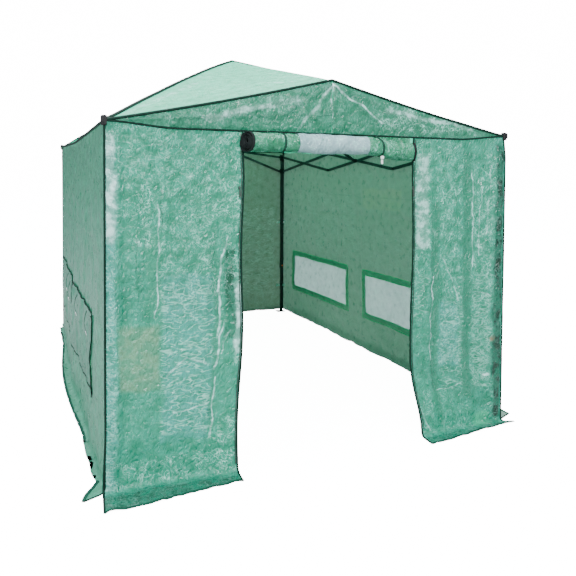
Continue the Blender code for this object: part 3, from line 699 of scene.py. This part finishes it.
for label, low, high, body, anchor_y, keep in BANDS:
    count = max(8, int(round((high - low) / 0.016)))
    xs = np.linspace(low, high, count + 1)
    if low < 0 < high:
        xs[np.argmin(np.abs(xs))] = 0.0
    x, y = roof_columns(xs)
    step = 0.004
    z = roof_height(x, y)
    slope_x = (roof_height(x + step, y) - roof_height(x - step, y)) / (2 * step)
    slope_y = (roof_height(x, y + step) - roof_height(x, y - step)) / (2 * step)
    slope_normals = unit(np.stack([-slope_x, -slope_y, np.ones_like(z)], -1))
    grid = np.stack([x, y, z], -1)
    piece = cloth("roof_cloth_" + label, grid, np.stack([x, y], -1), "roof", normals=slope_normals)
    hold = (body, Y_AXIS, ((low + high) / 2, anchor_y, 2.0), keep)
    attach(piece, *hold)
    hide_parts("roof_cover")
    hip_paths = []
    for way in (-1, 1):
        for a, b in ((low, min(high, 0.0)), (max(low, 0.0), high)):
            if a >= b:
                continue
            hx = np.linspace(a, b, 40)
            hy = way * HALF_Y * np.abs(hx) / HALF_X
            line = np.stack([hx, hy, roof_height(hx, hy) + 0.003], -1)
            hip_paths.append((line, (0.0, 0.0, 1.0)))
    attach(ribbon("hip_binding_" + label, hip_paths, 0.02, 0.019), *hold)


# ---------------------------------------------------------------- gables
def gable(name, x0, x1, way, where, seed, lines):
    """Half or all of a gable: the upright triangle between the eave seam and the roof's rim."""
    xs = np.linspace(x0, x1, int(abs(x1 - x0) / 0.012) + 1)
    t = np.linspace(0, 1, 27)[:, None]
    top = roof_height(xs, 0 * xs + way * HALF_Y)
    foot = EAVE - front_sag(xs) if way < 0 else EAVE + rear_lift(0 * xs + HALF_Y)
    z = top * (1 - t) + foot * t
    x = np.broadcast_to(xs, z.shape)
    tall = np.maximum(top - foot, 1e-4)
    fade = smooth(np.minimum(t, 1 - t) * tall / 0.02)
    belly = 0.01 * np.sin(np.pi * t) * (tall / 0.268)
    out = (crumple(x, z, seed, 1.2) + creases(x, z, lines) + belly) * fade
    grid = np.stack([x, way * (HALF_Y + out), z], -1)
    if way < 0:
        grid, x, z = grid[:, ::-1], x[:, ::-1], z[:, ::-1]
    piece = cloth(name, grid, np.stack([x, z], -1), "gable")
    fold_with(piece, where)
    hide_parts("roof_cover")
    rim = np.stack([xs, 0 * xs + way * (HALF_Y + 0.002), top + 0.002], -1)
    seam = np.stack([xs, 0 * xs + way * (HALF_Y + 0.003), foot], -1)
    tape(where, name.replace("cloth", "rim"), [(rim, (0, way, 0.3))], 0.014, 0.011)
    tape(where, name.replace("cloth", "seam"), [(seam, (0, way, 0))], 0.011, 0.007)


GABLE_LEFT = [(0, 2050, -950, 1860, 6, 16), (0, 2050, -620, 1830, 7, 20),
              (0, 2050, -360, 1820, 7, 20), (0, 2050, -120, 1820, 6, 18),
              (-1150, 1805, -300, 1862, 6, 14)]
GABLE_RIGHT = [(0, 2050, 330, 1820, 10, 14), (0, 2050, 130, 1820, 7, 20),
               (0, 2050, 620, 1830, 8, 26), (0, 2050, 920, 1850, 6, 22)]
gable("gable_front_cloth_left", -HALF_X, 0.0, -1, "front_left", 51, GABLE_LEFT)
gable("gable_front_cloth_right", 0.0, HALF_X, -1, "front_right", 52, GABLE_RIGHT)
gable("gable_rear_cloth", -HALF_X, HALF_X, 1, "rear", 53, GABLE_LEFT + GABLE_RIGHT)


# ---------------------------------------------------------------- walls
def lines_between(stops, step):
    """Evenly spaced values through every stop, about step apart."""
    parts = [np.array([stops[0]])]
    for a, b in zip(stops, stops[1:]):
        parts.append(np.linspace(a, b, max(1, int(round(abs(b - a) / step))) + 1)[1:])
    return np.concatenate(parts)


def run_down(grid):
    """The length of cloth from a grid's first row down to each point."""
    steps = np.linalg.norm(np.diff(grid, axis=0), axis=2)
    return np.concatenate([np.zeros((1, grid.shape[1])), np.cumsum(steps, axis=0)])


class Wall:
    """A hanging wall with its ground skirt, in its own axes: along, out and up."""

    def __init__(self, origin, along, out, us, zs, drape, slide, skirt, relief, skirt_rows=16):
        self.origin, self.along, self.out = (np.array(v, float) for v in (origin, along, out))
        u, z = np.meshgrid(us, zs)
        upper = np.stack([u + slide(u, z), drape(u, z), z], -1)
        foot = np.stack([us + slide(us, 0 * us), drape(us, 0 * us), 0 * us + LIFT], -1)
        reach, shift = skirt(us)
        rim = np.stack([us + shift, reach, 0 * us + LIFT], -1)
        far = unit(rim - foot) * BEND + foot
        rows = []
        for t in np.linspace(0, 1, 6)[1:]:
            rows.append(upper[-1] * (1 - t) ** 2 + foot * 2 * t * (1 - t) + far * t * t)
        for t in np.linspace(0, 1, skirt_rows)[1:]:
            rows.append(far * (1 - t) + rim * t)
        local = np.concatenate([upper, np.array(rows)])
        down = run_down(local)
        self.uv = np.stack([np.broadcast_to(us, down.shape), EAVE - down], -1)
        normal = unit(np.cross(np.gradient(local, axis=0), np.gradient(local, axis=1)))
        normal *= np.where(normal[..., 1:2] + normal[..., 2:3] < 0, -1, 1)
        lift = relief(self.uv[..., 0], self.uv[..., 1])
        on_floor = smooth((np.arange(len(local)) - len(zs)) / 6)[:, None]
        lift = lift * (1 - on_floor) + (np.abs(lift) + 0.0006) * 1.3 * on_floor
        local = local + normal * lift[..., None]
        local[..., 2] = np.maximum(local[..., 2], 0.0025)
        self.local, self.us, self.zs = local, us, zs
        self.grid = self.world(local)
        self.normals = self.turn(unit(np.cross(np.gradient(local, axis=0), np.gradient(local, axis=1))))
        facing = self.turn(normal)
        self.normals *= np.where((self.normals * facing).sum(-1, keepdims=True) < 0, -1, 1)

    def world(self, local):
        return self.origin + self.turn(local)

    def turn(self, v):
        return v[..., :1] * self.along + v[..., 1:2] * self.out + v[..., 2:3] * UP

    def piece(self, name, look, keep=None):
        flipped = float(np.dot(np.cross(self.along, -UP), self.out)) < 0
        grid, uv, normals = self.grid, self.uv, self.normals
        if flipped:
            grid, uv, normals = grid[:, ::-1], uv[:, ::-1], normals[:, ::-1]
            keep = None if keep is None else keep[:, ::-1]
        return cloth(name, grid, uv, look, keep=keep, normals=normals)

    def at(self, u, z, lift=0.0):
        """World points on the wall at u, z, proud of it by lift."""
        u, z = np.broadcast_arrays(np.asarray(u, float), np.asarray(z, float))
        columns = np.interp(u, self.us, np.arange(len(self.us)))
        rows = np.interp(-z, -self.zs, np.arange(len(self.zs)))
        c, r = columns.astype(int).clip(0, len(self.us) - 2), rows.astype(int).clip(0, len(self.zs) - 2)
        fc, fr = (columns - c)[..., None], (rows - r)[..., None]
        local = self.local
        p = (local[r, c] * (1 - fc) + local[r, c + 1] * fc) * (1 - fr) + (
            local[r + 1, c] * (1 - fc) + local[r + 1, c + 1] * fc) * fr
        p[..., 1] += lift
        return self.world(p)


def sagged(wall, drop, low):
    """Lowers a wall's top edge by drop, fading out at the height low."""
    share = smooth((wall.local[:, :, 2] - low) / (EAVE - low))
    wall.local[..., 2] -= drop[None, :] * share
    wall.grid = wall.world(wall.local)


def edges_fade(u, length, low=0.03):
    """0 at both ends of a length, 1 from low inside them."""
    return smooth(u / low) * smooth((length - u) / low)


def below_eave(z, reach):
    """0 at the eave, 1 from reach below it."""
    return smooth((EAVE - z) / reach)


def hang(u, z, seed, size, wide=0.21):
    """Loose upright drapes that grow from the taut eave to the foot."""
    wander = 0.05 * noise(0 * u, z, 0.5, seed)
    broad = noise(u + wander, 0.12 * z, wide, seed + 1)
    fine = noise(u - wander, 0.2 * z, wide / 2.3, seed + 2)
    return size * (0.25 + below_eave(z, 1.3)) * (broad + 0.5 * fine)


FRONT_LEFT = DOOR_LEFT + HALF_X
FRONT_RIGHT = HALF_X - DOOR_RIGHT
FRONT_ZS = lines_between([EAVE, BEND], 0.0105)


def left_relief(u, v):
    fade = edges_fade(u, FRONT_LEFT, 0.02) * below_eave(v, 0.03)
    lines = [
        (154, 1620, 150, 50, 5, 11), (288, 1450, 290, 100, 5.5, 11),
        (490, 1100, 530, 250, 6, 22), (580, 1500, 460, 600, 5, 16),
        (200, 1430, 660, 1420, 2.8, 13), (20, 950, 660, 930, 2.8, 13),
        (50, 480, 660, 500, 3, 13), (20, 1700, 300, 1550, 4, 20),
        (300, 900, 620, 350, 4, 16), (100, 350, 400, 120, 4, 16),
    ]
    return (crumple(u, v, 11, 1.0) + creases(u, v, lines)) * fade


def left_drape(u, z):
    wrap = 0.012 * smooth((u - 0.012) / 0.02) * smooth((0.085 - u) / 0.025) * below_eave(z, 0.1)
    flare = 0.03 * smooth((u - 0.45) / 0.24) * smooth((0.5 - z) / 0.5)
    folds = hang(u, z, 61, 0.0075) * edges_fade(u, FRONT_LEFT, 0.06)
    return (folds + wrap) * below_eave(z, 0.15) + flare + 0.002


def left_slide(u, z):
    edge = smooth(u / FRONT_LEFT)
    door_side = 0.03 * smooth((0.9 - z) / 0.9) + 0.006 * np.sin(7 * z) * below_eave(z, 0.3)
    return -edge * door_side - 0.01 * smooth((0.3 - z) / 0.3) * (1 - edge)


def left_skirt(u):
    t = u / FRONT_LEFT
    reach = 0.185 * (1 - t) + 0.134 * t + 0.006 * np.sin(9 * u)
    return reach, -0.026 * (1 - t) - 0.035 * t


front_left = Wall(
    (-HALF_X, -HALF_Y, 0), (1, 0, 0), (0, -1, 0), np.linspace(0, FRONT_LEFT, 66), FRONT_ZS,
    left_drape, left_slide, left_skirt, left_relief,
)


def right_relief(u, v):
    fade = edges_fade(u, FRONT_RIGHT, 0.02) * below_eave(v, 0.03)
    lines = [
        (130, 1650, 120, 300, 5.5, 18), (434, 1550, 425, 100, 5.5, 13),
        (573, 1450, 575, 100, 5, 12), (270, 1200, 300, 200, 4, 20),
        (20, 1280, 640, 1300, 2.6, 13), (20, 850, 640, 840, 2.6, 13),
        (40, 420, 620, 400, 3, 13), (50, 900, 350, 300, 4, 16),
    ]
    return (crumple(u, v, 12, 1.0) + creases(u, v, lines)) * fade


def right_drape(u, z):
    to_leg = FRONT_RIGHT - u
    wrap = 0.01 * smooth((0.09 - to_leg) / 0.02) * smooth((to_leg - 0.012) / 0.02) * below_eave(z, 0.1)
    flare = 0.02 * smooth((0.3 - u) / 0.3) * smooth((0.4 - z) / 0.4)
    folds = hang(u, z, 71, 0.0085) * edges_fade(u, FRONT_RIGHT, 0.06)
    off_leg = 0.016 * smooth((0.16 - to_leg) / 0.06)
    return (np.maximum(folds, -off_leg) + off_leg + wrap) * below_eave(z, 0.15) + flare + 0.002


def right_slide(u, z):
    edge = smooth((FRONT_RIGHT - u) / FRONT_RIGHT)
    door_side = 0.07 * smooth((0.55 - z) / 0.55) ** 1.5 + 0.005 * np.sin(6 * z + 1) * below_eave(z, 0.3)
    return edge * door_side


def right_skirt(u):
    t = u / FRONT_RIGHT
    return 0.132 * (1 - t) + 0.045 * t + 0.004 * np.sin(11 * u), 0.066 * (1 - t) + 0.081 * t


front_right = Wall(
    (DOOR_RIGHT, -HALF_Y, 0), (1, 0, 0), (0, -1, 0), np.linspace(0, FRONT_RIGHT, 64), FRONT_ZS,
    right_drape, right_slide, right_skirt, right_relief,
)

SIDE_LONG = 2 * HALF_Y
SIDE_ZS = lines_between([EAVE, WINDOW_Z[1], WINDOW_Z[0], BEND], 0.014)
SIDE_US = lines_between([0, WINDOW_Y[0][0] + HALF_Y, WINDOW_Y[0][1] + HALF_Y, WINDOW_Y[1][0] + HALF_Y,
                         WINDOW_Y[1][1] + HALF_Y, SIDE_LONG], 0.015)


def side_relief(seed):
    def relief(u, v):
        fade = edges_fade(u, SIDE_LONG, 0.03) * below_eave(v, 0.03)
        lines = [(450, 1720, 500, 50, 5, 20), (900, 1700, 930, 50, 5, 20),
                 (1350, 1680, 1300, 50, 5, 20), (1790, 1700, 1800, 50, 6, 20),
                 (2240, 1700, 2280, 50, 5, 20), (2690, 1700, 2660, 50, 5, 20),
                 (3130, 1700, 3160, 50, 5, 20), (100, 1220, 3500, 1200, 4, 16),
                 (20, 1780, 340, 1400, 6, 20), (3560, 1780, 3200, 1450, 6, 20)]
        return (crumple(u, v, seed, 0.8) + creases(u, v, lines)) * fade
    return relief


def side_drape(seed, bulge):
    def drape(u, z):
        low = 0.05 * bulge * smooth((1.3 - z) / 1.2) * arch(u / SIDE_LONG) ** 2
        folds = hang(u, z, seed, 0.011, 0.26) * edges_fade(u, SIDE_LONG, 0.12)
        return folds * below_eave(z, 0.2) + low + 0.002
    return drape


def no_slide(u, z):
    return 0 * u


def left_side_skirt(u):
    """Pulled out at the front corner, then turned under the wall."""
    t = smooth(u / 0.17)
    middle = arch(u / SIDE_LONG) ** 2
    return 0.105 * (1 - t) + 0.01 * t + 0.078 * middle, -0.047 * (1 - t) + 0 * u


def right_side_skirt(u):
    t = smooth(u / 0.5)
    return 0.141 * (1 - t) + 0.165 * t, 0.063 * (1 - t)


left_side = Wall((-HALF_X, -HALF_Y, 0), (0, 1, 0), (-1, 0, 0), SIDE_US, SIDE_ZS,
                 side_drape(81, 0.6), no_slide, left_side_skirt, side_relief(13), 10)
right_side = Wall((HALF_X, -HALF_Y, 0), (0, 1, 0), (1, 0, 0), SIDE_US, SIDE_ZS,
                  side_drape(84, 0.3), no_slide, right_side_skirt, side_relief(14), 10)
for side_wall in (left_side, right_side):
    sagged(side_wall, eave_sag(side_wall.us - HALF_Y) - rear_lift(side_wall.us - HALF_Y), 0.9)
sagged(front_left, front_sag(front_left.us - HALF_X), 1.2)
sagged(front_right, front_sag(front_right.us + DOOR_RIGHT), 1.2)


def rear_drape(u, z):
    folds = hang(u, z, 91, 0.01, 0.24) * edges_fade(u, 2 * HALF_X, 0.1)
    return folds * below_eave(z, 0.2) + 0.002


def rear_relief(u, v):
    lines = [(300 * k, 1720, 300 * k + 20, 50, 5, 18) for k in range(1, 8)]
    lines += [(50, 1200, 2350, 1210, 4, 16), (50, 600, 2350, 610, 4, 16)]
    fade = edges_fade(u, 2 * HALF_X, 0.03) * below_eave(v, 0.03)
    return (crumple(u, v, 15, 0.9) + creases(u, v, lines)) * fade


def rear_skirt(u):
    return 0.17 + 0.006 * np.sin(5 * u), 0 * u


rear = Wall((-HALF_X, HALF_Y, 0), (1, 0, 0), (0, 1, 0), np.linspace(0, 2 * HALF_X, 150),
            lines_between([EAVE, BEND], 0.016), rear_drape, no_slide, rear_skirt, rear_relief, 10)
sagged(rear, -rear_lift(0 * rear.us + HALF_Y), 1.2)


def outside_windows(wall):
    """True for the faces of a side wall that aren't in a window."""
    u = (wall.us[1:] + wall.us[:-1]) / 2 - HALF_Y
    z = np.concatenate([(wall.zs[1:] + wall.zs[:-1]) / 2, np.full(len(wall.local) - len(wall.zs), -1.0)])
    inside = np.zeros((len(z), len(u)), bool)
    for low, high in WINDOW_Y:
        across = (u > low) & (u < high)
        inside |= across[None, :] & ((z > WINDOW_Z[0]) & (z < WINDOW_Z[1]))[:, None]
    return ~inside


def hang_wall(wall, name, look, where, node, keep=None):
    """The wall's cloth, tied to its corners."""
    piece = fold_with(wall.piece(name, look, keep), where)
    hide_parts(node)


hang_wall(front_left, "front_cloth_left", "front_left", "front_left", "front_wall_left")
hang_wall(front_right, "front_cloth_right", "front_right", "front_right", "front_wall_right")
hang_wall(left_side, "side_cloth_left", "side", "left", "side_wall_left",
          outside_windows(left_side))
hang_wall(right_side, "side_cloth_right", "inner", "right", "side_wall_right",
          outside_windows(right_side))
hang_wall(rear, "rear_cloth", "rear", "rear", "rear_wall")


# ---------------------------------------------------------------- wall bindings
for name, wall, where in (
    ("front_binding_left", front_left, "front_left"), ("front_binding_right", front_right, "front_right"),
    ("side_binding_left", left_side, "left"), ("side_binding_right", right_side, "right"),
    ("rear_binding", rear, "rear"),
):
    tape(where, name, [(wall.grid[:, c], wall.normals[:, c]) for c in (0, -1)], 0.012, 0.007)
    tape(where, name.replace("binding", "hem"), [(wall.grid[-1] - [0, 0, 0.0005], UP)], 0.02, 0.004, "hem")
for side, wall in (("left", left_side), ("right", right_side)):
    tape(side, "eave_binding_" + side, [(wall.grid[0] + wall.out * 0.003, wall.out)], 0.016, 0.01)


# ---------------------------------------------------------------- windows
def window_patch(wall, u_ends, z_ends, lift, step=0.012):
    """u, z and world points of a grid on a side wall; lift is a function of u and z."""
    us, zs = lines_between(u_ends, step), lines_between(z_ends[::-1], step)
    u, z = np.meshgrid(us, zs)
    grid = wall.at(u, z, lift(u, z))
    if wall.out[0] > 0:
        u, z, grid = u[:, ::-1], z[:, ::-1], grid[:, ::-1]
    return u, z, grid


def outline(wall, u0, u1, z0, z1, lift):
    """Four straight paths round a rectangle on a wall, with the wall's outward direction."""
    us, zs = lines_between([u0, u1], 0.02), lines_between([z0, z1], 0.02)
    sides = [(us, z0), (us, z1), (u0, zs), (u1, zs)]
    return [(wall.at(u, z, lift), wall.out) for u, z in sides]


def window(wall, side, number, low, high, seed):
    """A mesh window: the screen, its sewn frame inside and the pipings round both."""
    u0, u1 = low + HALF_Y, high + HALF_Y
    z0, z1 = WINDOW_Z
    lap, rim = 0.012, 0.045

    def slack(u, v):
        middle = edges_fade(u - u0, u1 - u0, 0.08) * edges_fade(v - z0, z1 - z0, 0.06)
        ripple = 0.009 * noise(u + 0.35 * v, 0.35 * v, 0.085, seed)
        ripple = ripple + 0.006 * noise(u + 0.5 * v, v, 0.16, seed + 1)
        return -0.003 + middle * (ripple + 0.3 * crumple(u, v, seed + 2))

    u, z, grid = window_patch(wall, (u0 - lap, u1 + lap), (z0 - lap, z1 + lap), slack)
    screen = cloth(f"window_mesh_{side}_{number}", grid, np.stack([u, z], -1), "screen", "screen_mesh")
    fold_with(screen, side)
    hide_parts("window_screen_" + side)
    u, z, grid = window_patch(
        wall, (u0 - rim, u0, u1, u1 + rim), (z0 - rim, z0, z1, z1 + rim), lambda u, v: -0.005 + 0 * u
    )
    middle_u, middle_z = (u[:-1, :-1] + u[1:, 1:]) / 2, (z[:-1, :-1] + z[1:, 1:]) / 2
    keep = ~((middle_u > u0) & (middle_u < u1) & (middle_z > z0) & (middle_z < z1))
    border = cloth(f"window_frame_{side}_{number}", grid, np.stack([u, z], -1), "border", keep=keep)
    fold_with(border, side)
    paths = outline(wall, u0, u1, z0, z1, -0.0065) + outline(wall, u0, u1, z0, z1, 0.003)
    paths += outline(wall, u0 - rim, u1 + rim, z0 - rim, z1 + rim, -0.0065)
    tape(side, f"window_piping_{side}_{number}", paths, 0.006, 0.003, "piping", "webbing", 6)


for side, wall in (("left", left_side), ("right", right_side)):
    for number, (low, high) in enumerate(WINDOW_Y, 1):
        window(wall, side, number, low, high, 200 + 10 * number + len(side))


def flap(number, low, high, ties):
    """A closed window flap on the outside of the left wall, with its bound edge and hanging ties."""
    u0, u1, z0, z1 = low + HALF_Y - 0.035, high + HALF_Y + 0.035, 0.325, 0.765

    def lift(u, v):
        t, w = (u - u0) / (u1 - u0), (z1 - v) / (z1 - z0)
        belly = 0.014 * arch(t) ** 0.5 * arch(w) ** 0.7
        wrinkles = 0.004 * noise(u, 0.3 * v, 0.1, 300 + number) + crumple(u, v, 310 + number, 0.5)
        return 0.0075 + belly + wrinkles * smooth(w / 0.1)

    u, z, grid = window_patch(left_side, (u0, u1), (z0, z1), lift, 0.014)
    piece = cloth(f"window_flap_{number}", grid, np.stack([u, z], -1), "side")
    fold_with(piece, "left")
    out = left_side.out
    edges = [(edge, out) for edge in (grid[0], grid[-1], grid[:, 0], grid[:, -1])]
    tape("left", f"flap_binding_{number}", edges, 0.011, 0.006)
    tapes, tips = [], []
    down = np.linspace(0, 1, 12)
    for y in ties:
        along, proud = y + HALF_Y + 0.01 * np.sin(4 * down), 0.03 + 0.012 * np.sin(3 * down)
        path = left_side.at(along, z1 + 0.01 - 0.13 * down, proud)
        tapes.append((path, out))
        tips.append((path[-3:] + out * 0.0006 - UP * 0.006, out))
    tape("left", f"flap_ties_{number}", tapes, 0.02, 0.0022, "webbing")
    tape("left", f"flap_tie_tips_{number}", tips, 0.0205, 0.003, "white_tape")


flap(1, *WINDOW_Y[0], (-1.2, -0.66, -0.12))
flap(2, *WINDOW_Y[1], (0.29, 0.83, 1.37))


# ---------------------------------------------------------------- rolled-up door
ROLL_R, ROLL_CORE, ROLL_PITCH = 0.054, 0.008, 0.0062
ROLL_TURNS = (ROLL_R - ROLL_CORE) / ROLL_PITCH
ROLL_BACK = -1.85


def roll_centre(x):
    """The roll's own line: it drops past the right strap."""
    return 1.7185 - 0.004 * smooth((x + 0.5) / 0.5) - 0.026 * smooth((x - 0.17) / 0.22)


def roll_radius(x, theta):
    """The spiral's radius, pinched under the straps and crumpled on its outer turns."""
    base = ROLL_R - ROLL_PITCH * theta / math.tau
    outer = smooth(1 - (theta / math.tau - 1.0) / 1.5)
    pinch = sum(np.exp(-(((x - s) / 0.022) ** 2)) for s in STRAP_X.values())
    arc = theta * ROLL_R
    lines = [(-340, 100, -450, 220, 4, 10), (-330, 190, -470, 160, 4, 10),
             (-290, 100, -200, 200, 3, 10), (250, 120, 140, 220, 4, 10),
             (300, 100, 420, 210, 6, 12), (300, 200, 450, 130, 6, 12),
             (-120, 110, -90, 230, -4, 9), (100, 220, 150, 120, -4, 9)]
    relief = 0.005 * facets(x, arc, 0.075, 401) + 0.0022 * facets(x, arc, 0.034, 402)
    relief = relief + creases(x, arc, lines)
    return base * (1 - 0.12 * pinch * outer) + relief * outer * (1 - 0.7 * pinch) * smooth(theta / 0.8)


def roll_points(share, theta, lift=0.0):
    """World points on the rolled door; share runs 0 to 1 from its left end to its right one."""
    turn = -theta
    wobble = 0.004 * noise(theta, 0 * theta, 2.3, 403)
    size = np.clip((ROLL_R - ROLL_PITCH * theta / math.tau) / ROLL_R, 0, 1)
    left_end = -0.5065 - 0.0215 * np.cos(turn) * size + wobble
    right_end = 0.49 + 0.0165 * np.cos(turn) * size + wobble
    x = left_end * (1 - share) + right_end * share
    r = roll_radius(x, theta) + lift
    return np.stack([x, ROLL_BACK + r * np.cos(turn), roll_centre(x) + r * np.sin(turn)], -1)


thetas = math.tau * np.concatenate([np.linspace(0, 1.3, 62), np.linspace(1.3, ROLL_TURNS, 116)[1:]])
shares = np.linspace(0, 1, 110)
share_grid, theta_grid = np.meshgrid(shares, thetas)
roll_grid = roll_points(share_grid, theta_grid)
seam_x = roll_grid[0, :, 0]
seam_line = np.stack([seam_x, 0 * shares - HALF_Y - 0.0035, EAVE - 0.001 - front_sag(seam_x)], -1)
hang_rows = np.stack([seam_line * (1 - t) + roll_grid[0] * t for t in (0, 0.25, 0.5, 0.75)])
door_grid = np.concatenate([hang_rows, roll_grid])[:, ::-1]
door_uv = np.stack([door_grid[..., 0], -run_down(door_grid)], -1)
door = cloth("door_rolled", door_grid, door_uv, "roll")
fold_with(door, "front_left")
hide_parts("door_roll")

mesh_share, mesh_theta = np.meshgrid(np.linspace(0.262, 0.695, 60), math.pi * np.linspace(0.62, 1.72, 40))
mesh_grid = roll_points(mesh_share, mesh_theta, 0.0034)[:, ::-1]
mesh_uv = np.stack([mesh_grid[..., 0], -mesh_theta * ROLL_R], -1)
roll_mesh = cloth("door_rolled_mesh", mesh_grid, mesh_uv, "roll_mesh", "screen_mesh")
fold_with(roll_mesh, "front_left")

for side, end in (("left", 0.0), ("right", 1.0)):
    way = -1 if side == "left" else 1
    coil = np.linspace(0.0, ROLL_TURNS * math.tau, 330)
    edge_line = roll_points(end + 0 * coil, coil) + np.array([way * 0.001, 0, 0])
    radial = np.stack([0 * coil, np.cos(-coil), np.sin(-coil)], -1)
    tape("front_left", "door_rolled_edge_" + side, [(edge_line, radial)], 0.016, 0.0054, "black_edge",
         "webbing", 6)

for side, x in STRAP_X.items():
    turn = np.linspace(math.radians(98), math.radians(352), 46)
    r = np.array([float(roll_radius(np.array(x), np.array((-t) % math.tau))) for t in turn]) + 0.003
    loop = np.stack([0 * turn + x, ROLL_BACK + r * np.cos(turn), roll_centre(x) + r * np.sin(turn)], -1)
    start = np.array([[x, -HALF_Y - 0.006, EAVE - 0.026], [x, -HALF_Y - 0.022, EAVE - 0.028]])
    stop = np.array([[x, -HALF_Y - 0.0075, 1.745], [x, -HALF_Y - 0.0065, EAVE - 0.028]])
    path = np.concatenate([start, loop, stop])
    radial = unit(path - np.array([x, ROLL_BACK, roll_centre(x)]))
    strap = tape("front_left", "strap_" + side, [(path, radial)], 0.013, 0.0022, "webbing", "webbing", 6)
    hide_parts("roll_strap_" + side)

buckle_x = STRAP_X["right"] - 0.004
ladder = [soft_box((buckle_x, -1.885, 1.65), (0.021, 0.007, 0.018)),
          soft_box((buckle_x + 0.002, -1.88, 1.626), (0.014, 0.004, 0.026))]
fold_with(joined("strap_buckle", ladder, "white_plastic", "joint_plastic"), "front_left")


# ---------------------------------------------------------------- zips
for side, wall, u in (("left", front_left, FRONT_LEFT - 0.011), ("right", front_right, 0.011)):
    zs = np.linspace(1.785, 0.05, 150)
    chain = [(wall.at(u + 0 * zs, zs, 0.0035), wall.out)]
    tape("front_" + side, "zip_chain_" + side, chain, 0.0062, 0.0034, "zip_plastic", "zip_plastic", 6)
    low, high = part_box("zip_pull_" + side)
    x, y, z = [(a + b) / 2 for a, b in zip(low, high)]
    parts = [soft_box((x, y - 0.001, z), (0.011, 0.009, 0.019)),
             soft_box((x, y - 0.006, z - 0.004), (0.005, 0.004, 0.01)),
             soft_box((x + 0.001, y - 0.0075, z - 0.03), (0.009, 0.0026, 0.042), round_off=0.5)]
    pull = joined("zip_pull_tab_" + side, parts, "zip_plastic", "zip_plastic")
    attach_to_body(pull, "zip_pull_" + side)
    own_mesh(pull)
    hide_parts("zip_pull_" + side)


# ---------------------------------------------------------------- corner caps and leg ties
for corner, (sx, sy) in {"fl": (-1, -1), "fr": (1, -1), "rl": (-1, 1), "rr": (1, 1)}.items():
    ride_up = float(rear_lift(sy * HALF_Y))
    cap_parts = [soft_box((sx * 1.206, sy * 1.7915, 1.801 + ride_up), (0.026, 0.026, 0.05), 0.2, 8),
                 soft_box((sx * 1.215, sy * 1.8005, 1.804 + ride_up), (0.016, 0.016, 0.034), 0.3, 8)]
    cap = joined("corner_cap_" + corner, cap_parts, "joint_plastic", "joint_plastic")
    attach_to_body(cap, "leg_" + corner)
    ties = []
    for z in (1.03, 0.3):
        leg = np.array([sx * LEG_X, sy * LEG_Y])
        spots = [(-0.066, -0.012), (-0.046, -0.006), (-0.028, 0.006), (-0.0205, 0.0215), (0.0, 0.0235),
                 (0.0215, 0.0215), (0.028, 0.004), (0.034, -0.014)]
        spots = np.array(spots) * (sx, sy) if sx * sy > 0 else np.array(spots)[:, ::-1] * (sx, sy)
        t = np.linspace(0, len(spots) - 1, 40)
        line = np.stack([np.interp(t, np.arange(len(spots)), spots[:, k]) for k in (0, 1)], -1)
        for _ in range(3):
            line[1:-1] = (line[:-2] + 2 * line[1:-1] + line[2:]) / 4
        heights = z - 0.004 * np.sin(np.linspace(0, 3, len(line)))
        path = np.column_stack([leg + line, heights])
        across = np.gradient(path, axis=0)
        ties.append((path, np.cross(UP, across)))
    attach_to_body(ribbon("leg_ties_" + corner, ties, 0.024, 0.0024, "white_tape"), "leg_" + corner)


# ---------------------------------------------------------------- lights, backdrop and floor
def add_light(name, place, target, size, power):
    """A square area light, in metres and watts."""
    lamp = bpy.data.lights.new(name, "AREA")
    lamp.size, lamp.energy = size, power
    lamp_object = bpy.data.objects.new(name, lamp)
    direction = Vector(target) - Vector(place)
    lamp_object.rotation_euler = direction.to_track_quat("-Z", "Y").to_euler()
    lamp_object.location = place
    bpy.context.scene.collection.objects.link(lamp_object)


add_light("key", (-2.2, -9.0, 5.6), (0, -1, 0.9), 1.3, 760)
add_light("second", (1.5, -9.5, 3.6), (0, -1, 0.9), 0.9, 250)
add_light("side", (-7.0, -4.5, 6.0), (0, -1, 0.9), 1.3, 330)
add_light("over", (0.5, 1.5, 8.0), (0, 0, 1.5), 6.0, 1400)


def studio_world():
    """A soft sky: bright above, dimmer at the horizon, and a white backdrop to the camera."""
    s = Look(bpy.data.worlds.new("studio"))
    height = s.axis(s.put("TexCoord", output="Generated"), "Z")
    sky = s.mix(s.ramp(height, 0.0, 0.75), (0.28, 0.31, 0.32), (1.8, 2.15, 2.3))
    light = s.mix(s.put("LightPath", output="Is Camera Ray"), sky, (16.0, 16.0, 16.0))
    backdrop = s.put("Background", [("Color", light), ("Strength", 1.0)])
    bpy.context.scene.world = s.finish(backdrop, "OutputWorld")


def floor_look():
    """Pale and lit from within to the camera, dull to every other ray, so that it throws little light up."""
    s = Look(bpy.data.materials.new("pale_floor"))
    matte = s.put("BsdfPrincipled", [("Base Color", (0.94, 0.94, 0.93, 1)), ("Roughness", 0.8)])
    white = s.put("Emission", [("Color", (1, 1, 1, 1)), ("Strength", 14.5)])
    lit = s.put("AddShader", [(0, matte), (1, white)])
    dull = s.put("BsdfDiffuse", [("Color", (0.36, 0.37, 0.37, 1))])
    seen = s.put("LightPath", output="Is Camera Ray")
    return s.finish(s.put("MixShader", [(0, seen), (1, dull), (2, lit)]))


studio_world()
floor_mesh = bpy.data.meshes.new("floor")
floor_mesh.from_pydata([(-40, -40, 0), (40, -40, 0), (40, 40, 0), (-40, 40, 0)], [], [(0, 1, 2, 3)])
floor = bpy.data.objects.new("floor", floor_mesh)
bpy.context.scene.collection.objects.link(floor)
floor_mesh.materials.append(floor_look())
